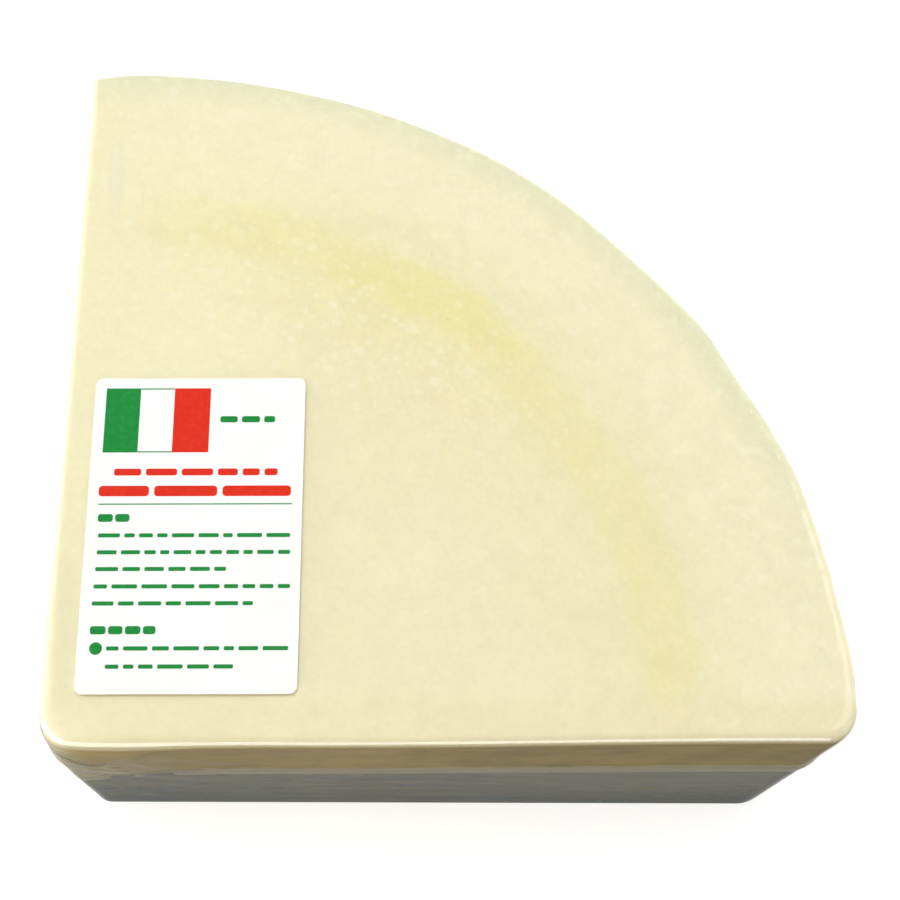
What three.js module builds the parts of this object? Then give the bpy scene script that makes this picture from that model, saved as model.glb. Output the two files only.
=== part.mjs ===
// A quarter-wheel slab of pecorino romano sealed in clear film, with a printed label on its top.
// Millimetres, +Z up. The slab stands on z = 0; the origin is under the middle of its bounding box.
import * as THREE from "three";

// ---- driving sizes ----
const WHEEL_R = 150; // radius of the wheel the slab was cut from
const WHEEL_C = [13.7, 5.4]; // wheel centre, seen from the square cut corner
const THICK = 64.5; // slab thickness
const CORNER = { cut: 3, front: 8.3, back: 1 }; // plan radii of the three upright edges
const ROUND_TOP = { cut: 1.7, rind: 3.2 }; // rounding of the top edges
const ROUND_FOOT = 2.2; // rounding of the bottom edges
const LEAN = { cut: 0.5, rind: 8.6 }; // how far each side leans in by the bottom

const WELD_Z = 40.2; // height of the flat weld strip that runs round the film
const WELD_OUT = 0.5; // how far the strip stands off the sides
const WELD_HALF = 3.2; // half height of the strip

// Soft hollows and swells of the rind side: [angle round the wheel in degrees, half width, mm out]
const RIND_SWELLS = [
  [92, 4.5, 0.45],
  [76.5, 6, -0.25],
  [57, 5, 0.35],
  [44, 4.5, -0.4],
  [35, 2.5, 0.5],
  [29.8, 2.2, -0.3],
  [21, 4, 0.5],
  [9.5, 3, -0.2],
  [4, 3, 0.3],
];
const SWELL_FADE = 1.7; // degrees over which the swells die out at the ends of the rind

const LABEL = { width: 44.4, length: 68.5, thick: 0.4, radius: 1.6, gap: 0.3, turn: 0.35 };
const LABEL_AT = [28.9, 44.1]; // middle of the label, seen from the square cut corner

const SEGMENTS = { cut: 6, front: 7, back: 3, side: 10, rind: 66, rounding: 5 };
const HUB = [62, 58]; // a point inside the slab, where its flat faces fan out from

// ---- plan outline ----
const { degToRad, radToDeg } = THREE.MathUtils;
const QUARTER = Math.PI / 2;

/** Points of a circular arc about a centre, both ends included. */
function arc([cx, cy], radius, from, to, segments) {
  return new THREE.EllipseCurve(cx, cy, radius, radius, from, to).getPoints(segments);
}

/** Points of a straight run between two points, both ends left out. */
function run(from, to, segments) {
  return new THREE.LineCurve(from, to).getPoints(segments).slice(1, -1);
}

/** How far the rind swells out at one angle, in radians, round the wheel. */
function swell(angle) {
  const bump = (sum, [at, half, out]) => sum + out * Math.exp(-(((radToDeg(angle) - at) / half) ** 2));
  return RIND_SWELLS.reduce(bump, 0);
}

/** The slab's outline at one height, with its cut faces and its rind set in by given amounts. */
function outline({ cut, rind, swellBy }) {
  const [cx, cy] = WHEEL_C;
  const radius = WHEEL_R - rind;
  const corner = [cut + CORNER.cut, cut + CORNER.cut];
  const [nearFront, nearBack] = [cut + CORNER.front, cut + CORNER.back];
  const front = [cx + Math.sqrt((radius - CORNER.front) ** 2 - (nearFront - cy) ** 2), nearFront];
  const back = [nearBack, cy + Math.sqrt((radius - CORNER.back) ** 2 - (nearBack - cx) ** 2)];
  const start = Math.atan2(front[1] - cy, front[0] - cx);
  const end = Math.atan2(back[1] - cy, back[0] - cx);

  const cutEdge = arc(corner, CORNER.cut, 2 * QUARTER, 3 * QUARTER, SEGMENTS.cut);
  const frontEdge = arc(front, CORNER.front, 3 * QUARTER, 4 * QUARTER + start, SEGMENTS.front);
  const backEdge = arc(back, CORNER.back, end, 2 * QUARTER, SEGMENTS.back);
  const rindArc = arc(WHEEL_C, radius, start, end, SEGMENTS.rind).slice(1, -1);
  const hub = new THREE.Vector2(cx, cy);
  for (const point of rindArc) {
    const angle = point.clone().sub(hub).angle();
    const fade = Math.min(1, Math.min(angle - start, end - angle) / degToRad(SWELL_FADE));
    point.sub(hub).multiplyScalar(1 + (swell(angle) * swellBy * fade) / radius).add(hub);
  }
  return [
    ...cutEdge,
    ...run(cutEdge.at(-1), frontEdge[0], SEGMENTS.side),
    ...frontEdge,
    ...rindArc,
    ...backEdge,
    ...run(backEdge.at(-1), cutEdge[0], SEGMENTS.side),
  ];
}

// ---- height profile ----
/** Inset that a rounding makes at a distance from the flat it ends in. */
function rounding(distance, radius) {
  return distance >= radius ? 0 : radius - Math.sqrt(radius ** 2 - (radius - distance) ** 2);
}

/** The film's weld strip: 1 over its flat middle, 0 past its edges. */
function weld(z) {
  return Math.max(0, 1 - ((z - WELD_Z) / WELD_HALF) ** 6);
}

/** The outline's insets at one height. */
function section(z) {
  const down = 1 - z / THICK;
  const both = rounding(z, ROUND_FOOT) - WELD_OUT * weld(z);
  return {
    cut: LEAN.cut * down + rounding(THICK - z, ROUND_TOP.cut) + both,
    rind: LEAN.rind * down + rounding(THICK - z, ROUND_TOP.rind) + both,
    swellBy: 1 - 0.5 * down,
  };
}

/** Heights at which the slab's outline is drawn, closest together where its profile turns. */
function heights() {
  const steps = Array.from({ length: SEGMENTS.rounding }, (_, i) => i / SEGMENTS.rounding);
  const turn = (radius) => steps.map((step) => radius * (1 - Math.cos(QUARTER * step)));
  const foot = [...turn(ROUND_FOOT), ROUND_FOOT];
  const top = turn(ROUND_TOP.cut).map((down) => THICK - down);
  const strip = [-1, -0.9, -0.7, 0, 0.7, 0.9, 1].map((side) => WELD_Z + side * WELD_HALF);
  const lower = [WELD_Z / 3, (2 * WELD_Z) / 3];
  const upper = [THICK - 4 * ROUND_TOP.rind, THICK - 2 * ROUND_TOP.cut];
  return [...foot, ...lower, ...strip, ...upper, ...top.reverse()];
}

// ---- solids ----
/** A closed solid through outlines of equal count, flat at both ends. */
function loft(levels, outlineAt) {
  const rings = levels.map((z) => outlineAt(z).map(({ x, y }) => [x, y, z]));
  const count = rings[0].length;
  const lastRing = (rings.length - 1) * count;
  const lowHub = rings.length * count;
  const index = [];
  for (let i = 0; i < count; i++) {
    const next = (i + 1) % count;
    for (let ring = 0; ring < lastRing; ring += count) {
      const [a, b, c, d] = [ring + i, ring + next, ring + count + next, ring + count + i];
      index.push(a, b, c, a, c, d);
    }
    index.push(lowHub, next, i, lowHub + 1, lastRing + i, lastRing + next);
  }
  const points = [...rings.flat(), [...HUB, levels[0]], [...HUB, levels.at(-1)]];
  const geometry = new THREE.BufferGeometry();
  geometry.setAttribute("position", new THREE.Float32BufferAttribute(points.flat(), 3));
  geometry.setIndex(index);
  geometry.computeVertexNormals();
  return geometry;
}

/** The slab: cheese and film as one solid. */
function slabGeometry() {
  return loft(heights(), (z) => outline(section(z)));
}

/** The label: a thin plate with rounded corners, lying just clear of the film. */
function labelGeometry() {
  const { width, length, thick, radius, gap, turn } = LABEL;
  const [x, y] = [width / 2 - radius, length / 2 - radius];
  const shape = new THREE.Shape();
  shape.absarc(x, y, radius, 0, QUARTER);
  shape.absarc(-x, y, radius, QUARTER, 2 * QUARTER);
  shape.absarc(-x, -y, radius, 2 * QUARTER, 3 * QUARTER);
  shape.absarc(x, -y, radius, 3 * QUARTER, 4 * QUARTER);
  const geometry = new THREE.ExtrudeGeometry(shape, { depth: thick, bevelEnabled: false, curveSegments: 3 });
  return geometry.rotateZ(degToRad(turn)).translate(...LABEL_AT, THICK + gap);
}

/** A named sub-part with a material of its own. */
function subPart(name, geometry, color, roughness) {
  const mesh = new THREE.Mesh(geometry, new THREE.MeshStandardMaterial({ color, roughness, metalness: 0 }));
  mesh.name = name;
  return mesh;
}

function pecorinoRomano() {
  const slab = subPart("wrapped_cheese", slabGeometry(), 0xf1e6c0, 0.35);
  const label = subPart("label", labelGeometry(), 0xfbfbf8, 0.5);
  const group = new THREE.Group().add(slab, label);
  const middle = new THREE.Box3().setFromObject(slab).getCenter(new THREE.Vector3());
  group.position.set(-middle.x, -middle.y, 0);
  group.name = "pecorino_romano";
  return group;
}

export default pecorinoRomano();
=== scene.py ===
"""Looks of a quarter-wheel slab of pecorino romano sealed in clear film, with a printed paper label on top.

Lengths are metres in the part's own frame: +Z up, +X along the front cut face, +Y along the left cut face,
the origin under the middle of the slab. Places "in plan" are measured from the slab's square cut corner.
"""

import logging
import math
from dataclasses import dataclass, field
from enum import Enum
from random import Random

import bpy
import numpy as np
from mathutils import Euler, Matrix, Vector, noise


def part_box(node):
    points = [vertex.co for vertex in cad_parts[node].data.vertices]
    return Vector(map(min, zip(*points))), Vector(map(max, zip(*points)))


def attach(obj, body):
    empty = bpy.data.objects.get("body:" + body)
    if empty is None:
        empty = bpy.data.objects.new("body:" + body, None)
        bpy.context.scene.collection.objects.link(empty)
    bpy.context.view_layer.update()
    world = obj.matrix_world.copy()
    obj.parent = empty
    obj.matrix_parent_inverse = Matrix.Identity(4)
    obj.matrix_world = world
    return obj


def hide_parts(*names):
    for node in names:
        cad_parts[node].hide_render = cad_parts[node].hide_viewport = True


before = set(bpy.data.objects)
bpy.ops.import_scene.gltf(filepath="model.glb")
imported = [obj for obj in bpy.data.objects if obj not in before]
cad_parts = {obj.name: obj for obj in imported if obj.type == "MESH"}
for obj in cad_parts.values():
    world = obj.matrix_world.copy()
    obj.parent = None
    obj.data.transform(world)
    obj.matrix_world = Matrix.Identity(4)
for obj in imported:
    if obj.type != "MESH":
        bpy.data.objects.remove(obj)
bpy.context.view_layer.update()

LOG = logging.getLogger("pecorino")
MM = 0.001
QUARTER = math.pi / 2
BODY = "root"

Colour = tuple[float, float, float]


class Node(Enum):
    """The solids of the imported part."""

    SLAB = "wrapped_cheese"
    LABEL = "label"


class Slot(Enum):
    """The record's material slots."""

    SLAB = "wrapped_cheese"
    LABEL = "label"


class Face(Enum):
    """The stretches of the slab's outline, in order round it, seen from above and against the clock."""

    CUT_EDGE = 0
    FRONT = 1
    FRONT_EDGE = 2
    RIND = 3
    BACK_EDGE = 4
    LEFT = 5


class Zone(Enum):
    """The parts of the slab's section, from under it, up its side and in over its top."""

    UNDERSIDE = 0
    FOOT = 1
    SIDE = 2
    SHOULDER = 3
    TOP = 4


# ---------------------------------------------------------------- plan and section


@dataclass(frozen=True)
class Swell:
    """A soft swell or hollow of the rind side.

    Attributes:
        angle: Its place round the wheel, in degrees.
        half: Its half width, in degrees.
        out: How far it stands out.
    """

    angle: float
    half: float
    out: float


@dataclass(frozen=True)
class Columns:
    """The slab's outline cut into columns, one for each upright line of points.

    Attributes:
        face: The Face value of each column.
        share: How far along its face each column is, from 0 to 1.
        along: Distance round the outline from the square cut corner, less than 0 on the left face.
    """

    face: np.ndarray
    share: np.ndarray
    along: np.ndarray

    @property
    def count(self) -> int:
        """How many columns there are."""
        return len(self.face)

    def on(self, *faces: Face) -> np.ndarray:
        """True for each column on one of the faces."""
        return np.isin(self.face, [face.value for face in faces])


@dataclass(frozen=True)
class Plan:
    """The quarter wheel seen from above.

    Attributes:
        corner: The square cut corner's place in the part's frame.
        wheel_radius: Radius of the wheel that the slab was cut from.
        wheel_centre: The wheel's centre, in plan.
        cut_edge: Plan radius of the upright edge between the two cut faces.
        front_edge: Plan radius of the upright edge between the front cut face and the rind.
        back_edge: Plan radius of the upright edge between the rind and the left cut face.
        swells: The rind side's swells and hollows.
        swell_fade: Angle over which the swells die out at the ends of the rind, in degrees.
        swell_loss: The share of the swells that is gone by the bottom.
        crowding: How strongly the points on the cut faces crowd to the square corner, from 1.
        skew: The front cut face's top edge isn't square to the left one: how far it stands out at its left
            end and how much further in at its right end.
        skew_from: Where along it that starts.
        skew_over: Over what length.
    """

    corner: Vector
    wheel_radius: float = 150 * MM
    wheel_centre: tuple[float, float] = (13.7 * MM, 5.4 * MM)
    cut_edge: float = 3.0 * MM
    front_edge: float = 8.3 * MM
    back_edge: float = 1.0 * MM
    swells: tuple[Swell, ...] = (
        Swell(92, 4.5, 0.45 * MM),
        Swell(76.5, 6, -0.25 * MM),
        Swell(57, 5, 0.35 * MM),
        Swell(44, 4.5, -0.4 * MM),
        Swell(35, 2.5, 0.5 * MM),
        Swell(29.8, 2.2, -0.3 * MM),
        Swell(21, 4, 0.5 * MM),
        Swell(9.5, 3, -0.2 * MM),
        Swell(4, 3, 0.3 * MM),
    )
    swell_fade: float = 1.7
    swell_loss: float = 0.5
    crowding: float = 1.25
    skew: tuple[float, float] = (0.45 * MM, 1.25 * MM)
    skew_from: float = 50 * MM
    skew_over: float = 105 * MM

    def place(self, x: float, y: float, z: float = 0.0) -> Vector:
        """A plan point in the part's frame."""
        return Vector((self.corner.x + x, self.corner.y + y, z))

    @property
    def hub(self) -> Vector:
        """The wheel's centre in the part's frame."""
        return self.place(*self.wheel_centre)

    def columns(self, spacing: float) -> Columns:
        """Cuts the outline into columns.

        Args:
            spacing: Distance between columns on the cut faces and the rind.

        Returns:
            The columns, closer together on the upright edges and near the square corner.
        """
        centres, start, end = self._edges(0.0, 0.0)
        runs = (
            (Face.CUT_EDGE, self.cut_edge * QUARTER, 4),
            (Face.FRONT, centres[Face.FRONT_EDGE][0] - self.cut_edge, 1),
            (Face.FRONT_EDGE, self.front_edge * (QUARTER + start), 2),
            (Face.RIND, self.wheel_radius * (end - start), 1),
            (Face.BACK_EDGE, self.back_edge * (2 * QUARTER - end), 3),
            (Face.LEFT, centres[Face.BACK_EDGE][1] - self.cut_edge, 1),
        )
        face, share, along, passed = [], [], [], -self.cut_edge * QUARTER / 2
        for run, length, finer in runs:
            steps = max(2, round(float(length) * finer / spacing))
            shares = np.arange(steps) / steps
            if run is Face.FRONT:
                shares = shares**self.crowding
            if run is Face.LEFT:
                shares = 1 - (1 - shares) ** self.crowding
            face.append(np.full(steps, run.value))
            share.append(shares)
            along.append(passed + shares * length)
            passed += length
        along = np.concatenate(along)
        face = np.concatenate(face)
        along = np.where(face == Face.LEFT.value, along - passed - self.cut_edge * QUARTER / 2, along)
        return Columns(face, np.concatenate(share), along)

    def _edges(
        self, cut: np.ndarray, rind: np.ndarray, cut_edge: np.ndarray | None = None
    ) -> tuple[dict, np.ndarray, np.ndarray]:
        """Where the upright edges' plan arcs lie.

        Args:
            cut: How far the cut faces are set in.
            rind: How far the rind is set in.
            cut_edge: Plan radius of the square corner's edge, or None for the usual one.

        Returns:
            The arcs' centres in plan by face, and the angles round the wheel at which the rind starts and ends.
        """
        cx, cy = self.wheel_centre
        cut_edge = self.cut_edge if cut_edge is None else cut_edge
        radius = self.wheel_radius - rind
        near_front, near_back = cut + self.front_edge, cut + self.back_edge
        front_x = cx + np.sqrt((radius - self.front_edge) ** 2 - (near_front - cy) ** 2)
        back_y = cy + np.sqrt((radius - self.back_edge) ** 2 - (near_back - cx) ** 2)
        centres = {
            Face.CUT_EDGE: (cut + cut_edge, cut + cut_edge),
            Face.FRONT_EDGE: (front_x, near_front),
            Face.BACK_EDGE: (near_back, back_y),
        }
        start = np.arctan2(near_front - cy, front_x - cx)
        end = np.arctan2(back_y - cy, near_back - cx)
        return centres, start, end

    def _swelling(self, angle: np.ndarray, start: np.ndarray, end: np.ndarray) -> np.ndarray:
        """How far the rind swells out at some angles round the wheel."""
        turned = np.degrees(angle)
        out = sum(s.out * np.exp(-(((turned - s.angle) / s.half) ** 2)) for s in self.swells)
        fade = np.minimum(angle - start, end - angle) / math.radians(self.swell_fade)
        return out * np.clip(fade, 0, 1)

    def _skewed(self, columns: Columns) -> np.ndarray:
        """How far the front cut face's top edge stands out at each column."""
        along = columns.along
        start = smooth((along + self.cut_edge) / (3 * self.cut_edge))
        out = self.skew[0] - self.skew[1] * smooth((along - self.skew_from) / self.skew_over)
        end = np.where(columns.on(Face.FRONT_EDGE), 1 - smooth(2.5 * columns.share), 1.0)
        return out * start * end * columns.on(Face.CUT_EDGE, Face.FRONT, Face.FRONT_EDGE)

    def outline(
        self, columns: Columns, cut: np.ndarray, rind: np.ndarray, up: np.ndarray, cut_edge: np.ndarray
    ) -> tuple[np.ndarray, np.ndarray]:
        """Points of the outline, and the way out of the slab at each.

        Args:
            columns: The outline's columns.
            cut: How far the cut faces are set in, by row and column.
            rind: How far the rind is set in, by row and column.
            up: Height as a share of the thickness, by row and column.
            cut_edge: Plan radius of the square corner's edge, by row and column.

        Returns:
            Points in the part's frame and unit vectors out of the slab, both by row, column and axis.
        """
        centres, start, end = self._edges(cut, rind, cut_edge)
        cx, cy = self.wheel_centre
        share = np.broadcast_to(columns.share, cut.shape)
        rind_angle = start + share * (end - start)
        swelling = self._swelling(rind_angle, start, end) * (1 - self.swell_loss * (1 - up))
        reach = self.wheel_radius - rind + swelling
        cut_x, cut_y = centres[Face.CUT_EDGE]
        front_x, front_y = centres[Face.FRONT_EDGE]
        back_x, back_y = centres[Face.BACK_EDGE]
        arcs = {
            Face.CUT_EDGE: (cut_x, cut_y, cut_edge, QUARTER * (2 + share)),
            Face.FRONT_EDGE: (front_x, front_y, self.front_edge, -QUARTER + share * (QUARTER + start)),
            Face.RIND: (cx, cy, reach, rind_angle),
            Face.BACK_EDGE: (back_x, back_y, self.back_edge, end + share * (2 * QUARTER - end)),
        }
        point = np.zeros((*cut.shape, 2))
        out = np.zeros((*cut.shape, 2))
        for face, (x, y, radius, angle) in arcs.items():
            here = columns.on(face)
            way = np.stack([np.cos(angle), np.sin(angle)], -1)
            placed = np.stack([x + radius * way[..., 0], y + radius * way[..., 1]], -1)
            point[:, here], out[:, here] = placed[:, here], way[:, here]
        front, left = columns.on(Face.FRONT), columns.on(Face.LEFT)
        front_run = np.stack([cut_x + share * (front_x - cut_x), cut], -1)
        left_run = np.stack([cut, back_y + share * (cut_y - back_y)], -1)
        point[:, front], out[:, front] = front_run[:, front], (0, -1)
        point[:, left], out[:, left] = left_run[:, left], (-1, 0)
        point[..., 1] -= self._skewed(columns) * up
        return point + np.array(self.corner[:2]), out


@dataclass(frozen=True)
class WeldLine:
    """The line round the sides on which the upper and the lower film are welded together.

    Attributes:
        height: Its height over most of the way round.
        corner_dip: How far it dips at the square corner.
        corner_reach: Distance from the corner over which most of that dip is gone.
        corner_ease: Roundness of the dip's lowest point.
    """

    height: float = 39.9 * MM
    corner_dip: float = 9.5 * MM
    corner_reach: float = 15 * MM
    corner_ease: float = 3 * MM

    def at(self, along: np.ndarray) -> np.ndarray:
        """The line's height at distances round the outline from the square corner."""
        away = np.hypot(along, self.corner_ease) - self.corner_ease
        return self.height - self.corner_dip * np.exp(-away / self.corner_reach)


@dataclass(frozen=True)
class Section:
    """The slab's height profile.

    Attributes:
        thick: The slab's thickness.
        cut_shoulder: Rounding of the front cut face's top edge.
        left_shoulder: Rounding of the left cut face's top edge, where the film stands off a little.
        corner_shoulder: Rounding at the square corner, which the film bridges.
        corner_reach: How far along the cut faces that bridging is felt.
        rind_shoulder: Rounding of the rind's top edge.
        foot: Rounding of the bottom edges.
        edge_top: Plan radius of the square corner's edge at the top.
        edge_foot: Plan radius of the square corner's edge at the bottom.
        cut_lean: How far the cut faces lean in by the bottom.
        rind_lean: How far the rind leans in by the bottom.
    """

    thick: float
    cut_shoulder: float = 2.3 * MM
    left_shoulder: float = 1.7 * MM
    corner_shoulder: float = 2.5 * MM
    corner_reach: float = 12 * MM
    rind_shoulder: float = 3.2 * MM
    foot: float = 2.2 * MM
    edge_top: float = 6.6 * MM
    edge_foot: float = 4.3 * MM
    cut_lean: float = 0.5 * MM
    rind_lean: float = 8.6 * MM

    def cut_rounding(self, columns: Columns) -> np.ndarray:
        """The radius of the cut faces' top edge at each column."""
        base = np.where(columns.along < 0, self.left_shoulder, self.cut_shoulder)
        return base + (self.corner_shoulder - base) * self._near(columns)

    def _near(self, columns: Columns) -> np.ndarray:
        """How much each column belongs to the square corner, from 0 to 1."""
        return np.exp(-((columns.along / self.corner_reach) ** 2))

    def cut_edge(self, z: np.ndarray, middle: float) -> np.ndarray:
        """Plan radius of the square corner's edge at some heights, from its radius half way up."""
        high = smooth((z - 0.72 * self.thick) / (0.28 * self.thick))
        low = smooth((0.5 * self.thick - z) / (0.5 * self.thick))
        return middle + (self.edge_top - middle) * high + (self.edge_foot - middle) * low

    def shoulder(self, columns: Columns) -> np.ndarray:
        """The radius of the top edge at each column, cut face or rind."""
        cut = self.cut_rounding(columns)
        to_rind = np.where(columns.on(Face.RIND), 1.0, 0.0)
        to_rind = np.where(columns.on(Face.FRONT_EDGE), columns.share, to_rind)
        to_rind = np.where(columns.on(Face.BACK_EDGE), 1 - columns.share, to_rind)
        return cut + (self.rind_shoulder - cut) * to_rind


@dataclass(frozen=True)
class Rows:
    """How many rows of points each zone of the section has, and how far in the flat zones reach.

    Attributes:
        underside: Rows under the slab.
        foot: Rows round the bottom edge.
        side: Rows up the side.
        shoulder: Rows round the top edge.
        top: Rows over the top.
        under_reach: How far in the underside's first row lies.
        rim_rows: How many of the top's rows keep the outline's form, before the rest close in.
        rim_reach: How far in the last of those rows lies.
    """

    underside: int
    foot: int
    side: int
    shoulder: int
    top: int
    rim_rows: int
    under_reach: float = 12 * MM
    rim_reach: float = 12 * MM

    def listed(self) -> list[tuple[Zone, float]]:
        """Each row's zone and its place in that zone, from 0 to 1, in order from under the slab."""
        zones = (
            (Zone.UNDERSIDE, self.underside),
            (Zone.FOOT, self.foot),
            (Zone.SIDE, self.side),
            (Zone.SHOULDER, self.shoulder),
            (Zone.TOP, self.top),
        )
        return [(zone, step / count) for zone, count in zones for step in range(count)] + [(Zone.TOP, 1.0)]

    def over(self, place: np.ndarray) -> tuple[np.ndarray, np.ndarray]:
        """How far in the top's rows lie.

        Args:
            place: The rows' places in the top, from 0 to 1.

        Returns:
            Their inset from where the top starts, and how far on from there they close in, from 0 to 1.
        """
        rim = self.rim_rows / self.top
        return self.rim_reach * np.clip(place / rim, 0, 1) ** 1.3, np.clip((place - rim) / (1 - rim), 0, 1)


def smooth(value: np.ndarray) -> np.ndarray:
    """A smooth step from 0 to 1 as the value goes from 0 to 1."""
    inside = np.clip(value, 0, 1)
    return inside * inside * (3 - 2 * inside)


def rounding(distance: np.ndarray, radius: np.ndarray) -> np.ndarray:
    """Inset that a rounding makes at a distance from the flat that it ends in."""
    short = np.clip(radius - distance, 0, None)
    return radius - np.sqrt(np.clip(radius**2 - short**2, 0, None))


@dataclass
class Grid:
    """A slab's points by row and column, before any relief.

    Attributes:
        columns: The outline's columns.
        zone: The Zone value of each row.
        place: Each row's place in its zone, from 0 to 1.
        point: Points, by row, column and axis.
        out: Unit vectors out of the surface, by row, column and axis.
        inset: How far each point is set in from where the top starts, by row and column.
    """

    columns: Columns
    zone: np.ndarray
    place: np.ndarray
    point: np.ndarray
    out: np.ndarray
    inset: np.ndarray

    def rows_on(self, *zones: Zone) -> np.ndarray:
        """True for each row in one of the zones, as a column of the grid."""
        return np.isin(self.zone, [zone.value for zone in zones])[:, None]


# ---------------------------------------------------------------- shared modelling steps


def start_fresh() -> None:
    """Leaves edit mode and deselects everything."""
    if bpy.context.object is not None and bpy.context.object.mode != "OBJECT":
        bpy.ops.object.mode_set(mode="OBJECT")
    bpy.ops.object.select_all(action="DESELECT")


def named(name: str) -> bpy.types.Object:
    """The object that an add operator just made, with its name and its mesh's name set."""
    piece = bpy.context.object
    piece.name = piece.data.name = name
    return piece


def finish_piece(
    piece: bpy.types.Object, material: bpy.types.Material, stands_for: tuple[Node, ...] = ()
) -> bpy.types.Object:
    """Dresses a finished mesh, fixes its place and hangs it on the part.

    Args:
        piece: The object to finish.
        material: Its finish.
        stands_for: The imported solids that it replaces.

    Returns:
        The same object.
    """
    start_fresh()
    piece.select_set(True)
    bpy.context.view_layer.objects.active = piece
    bpy.ops.object.transform_apply(location=True, rotation=True, scale=True)
    bpy.ops.object.shade_smooth_by_angle(angle=math.radians(40))
    piece.data.materials.clear()
    piece.data.materials.append(material)
    piece.select_set(False)
    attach(piece, BODY)
    for node in stands_for:
        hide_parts(node.value)
    LOG.info("%s: %d faces", piece.name, len(piece.data.polygons))
    return piece


def rough(points: np.ndarray, size: float, seed: int) -> np.ndarray:
    """Smooth noise from about -1 to 1.

    Args:
        points: Points, with the axes last.
        size: Size of the noise's lumps.
        seed: Picks one noise from many.

    Returns:
        The noise at each point.
    """
    shift = Vector((17.3 * seed, -9.1 * seed, 5.7 * seed))
    flat = points.reshape(-1, 3) / size
    values = np.fromiter((noise.noise(Vector(p) + shift) for p in flat), float, len(flat))
    return values.reshape(points.shape[:-1])


def ridge(x: np.ndarray, y: np.ndarray, start: tuple[float, float], end: tuple[float, float], half: float) -> np.ndarray:
    """A smooth ridge of height 1 along a straight line, fading out at both ends.

    Args:
        x: First coordinate of the points.
        y: Second coordinate of the points.
        start: Where the ridge starts.
        end: Where the ridge ends.
        half: Its half width.

    Returns:
        The ridge's height at each point.
    """
    run = np.array(end) - np.array(start)
    length = np.hypot(*run)
    t = ((x - start[0]) * run[0] + (y - start[1]) * run[1]) / length
    across = ((x - start[0]) * run[1] - (y - start[1]) * run[0]) / length
    fade = np.clip(np.sin(np.clip(t / length, 0, 1) * math.pi), 0, 1) ** 0.7
    return np.exp(-((across / half) ** 2)) * fade


# ---------------------------------------------------------------- the slab's two skins


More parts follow.
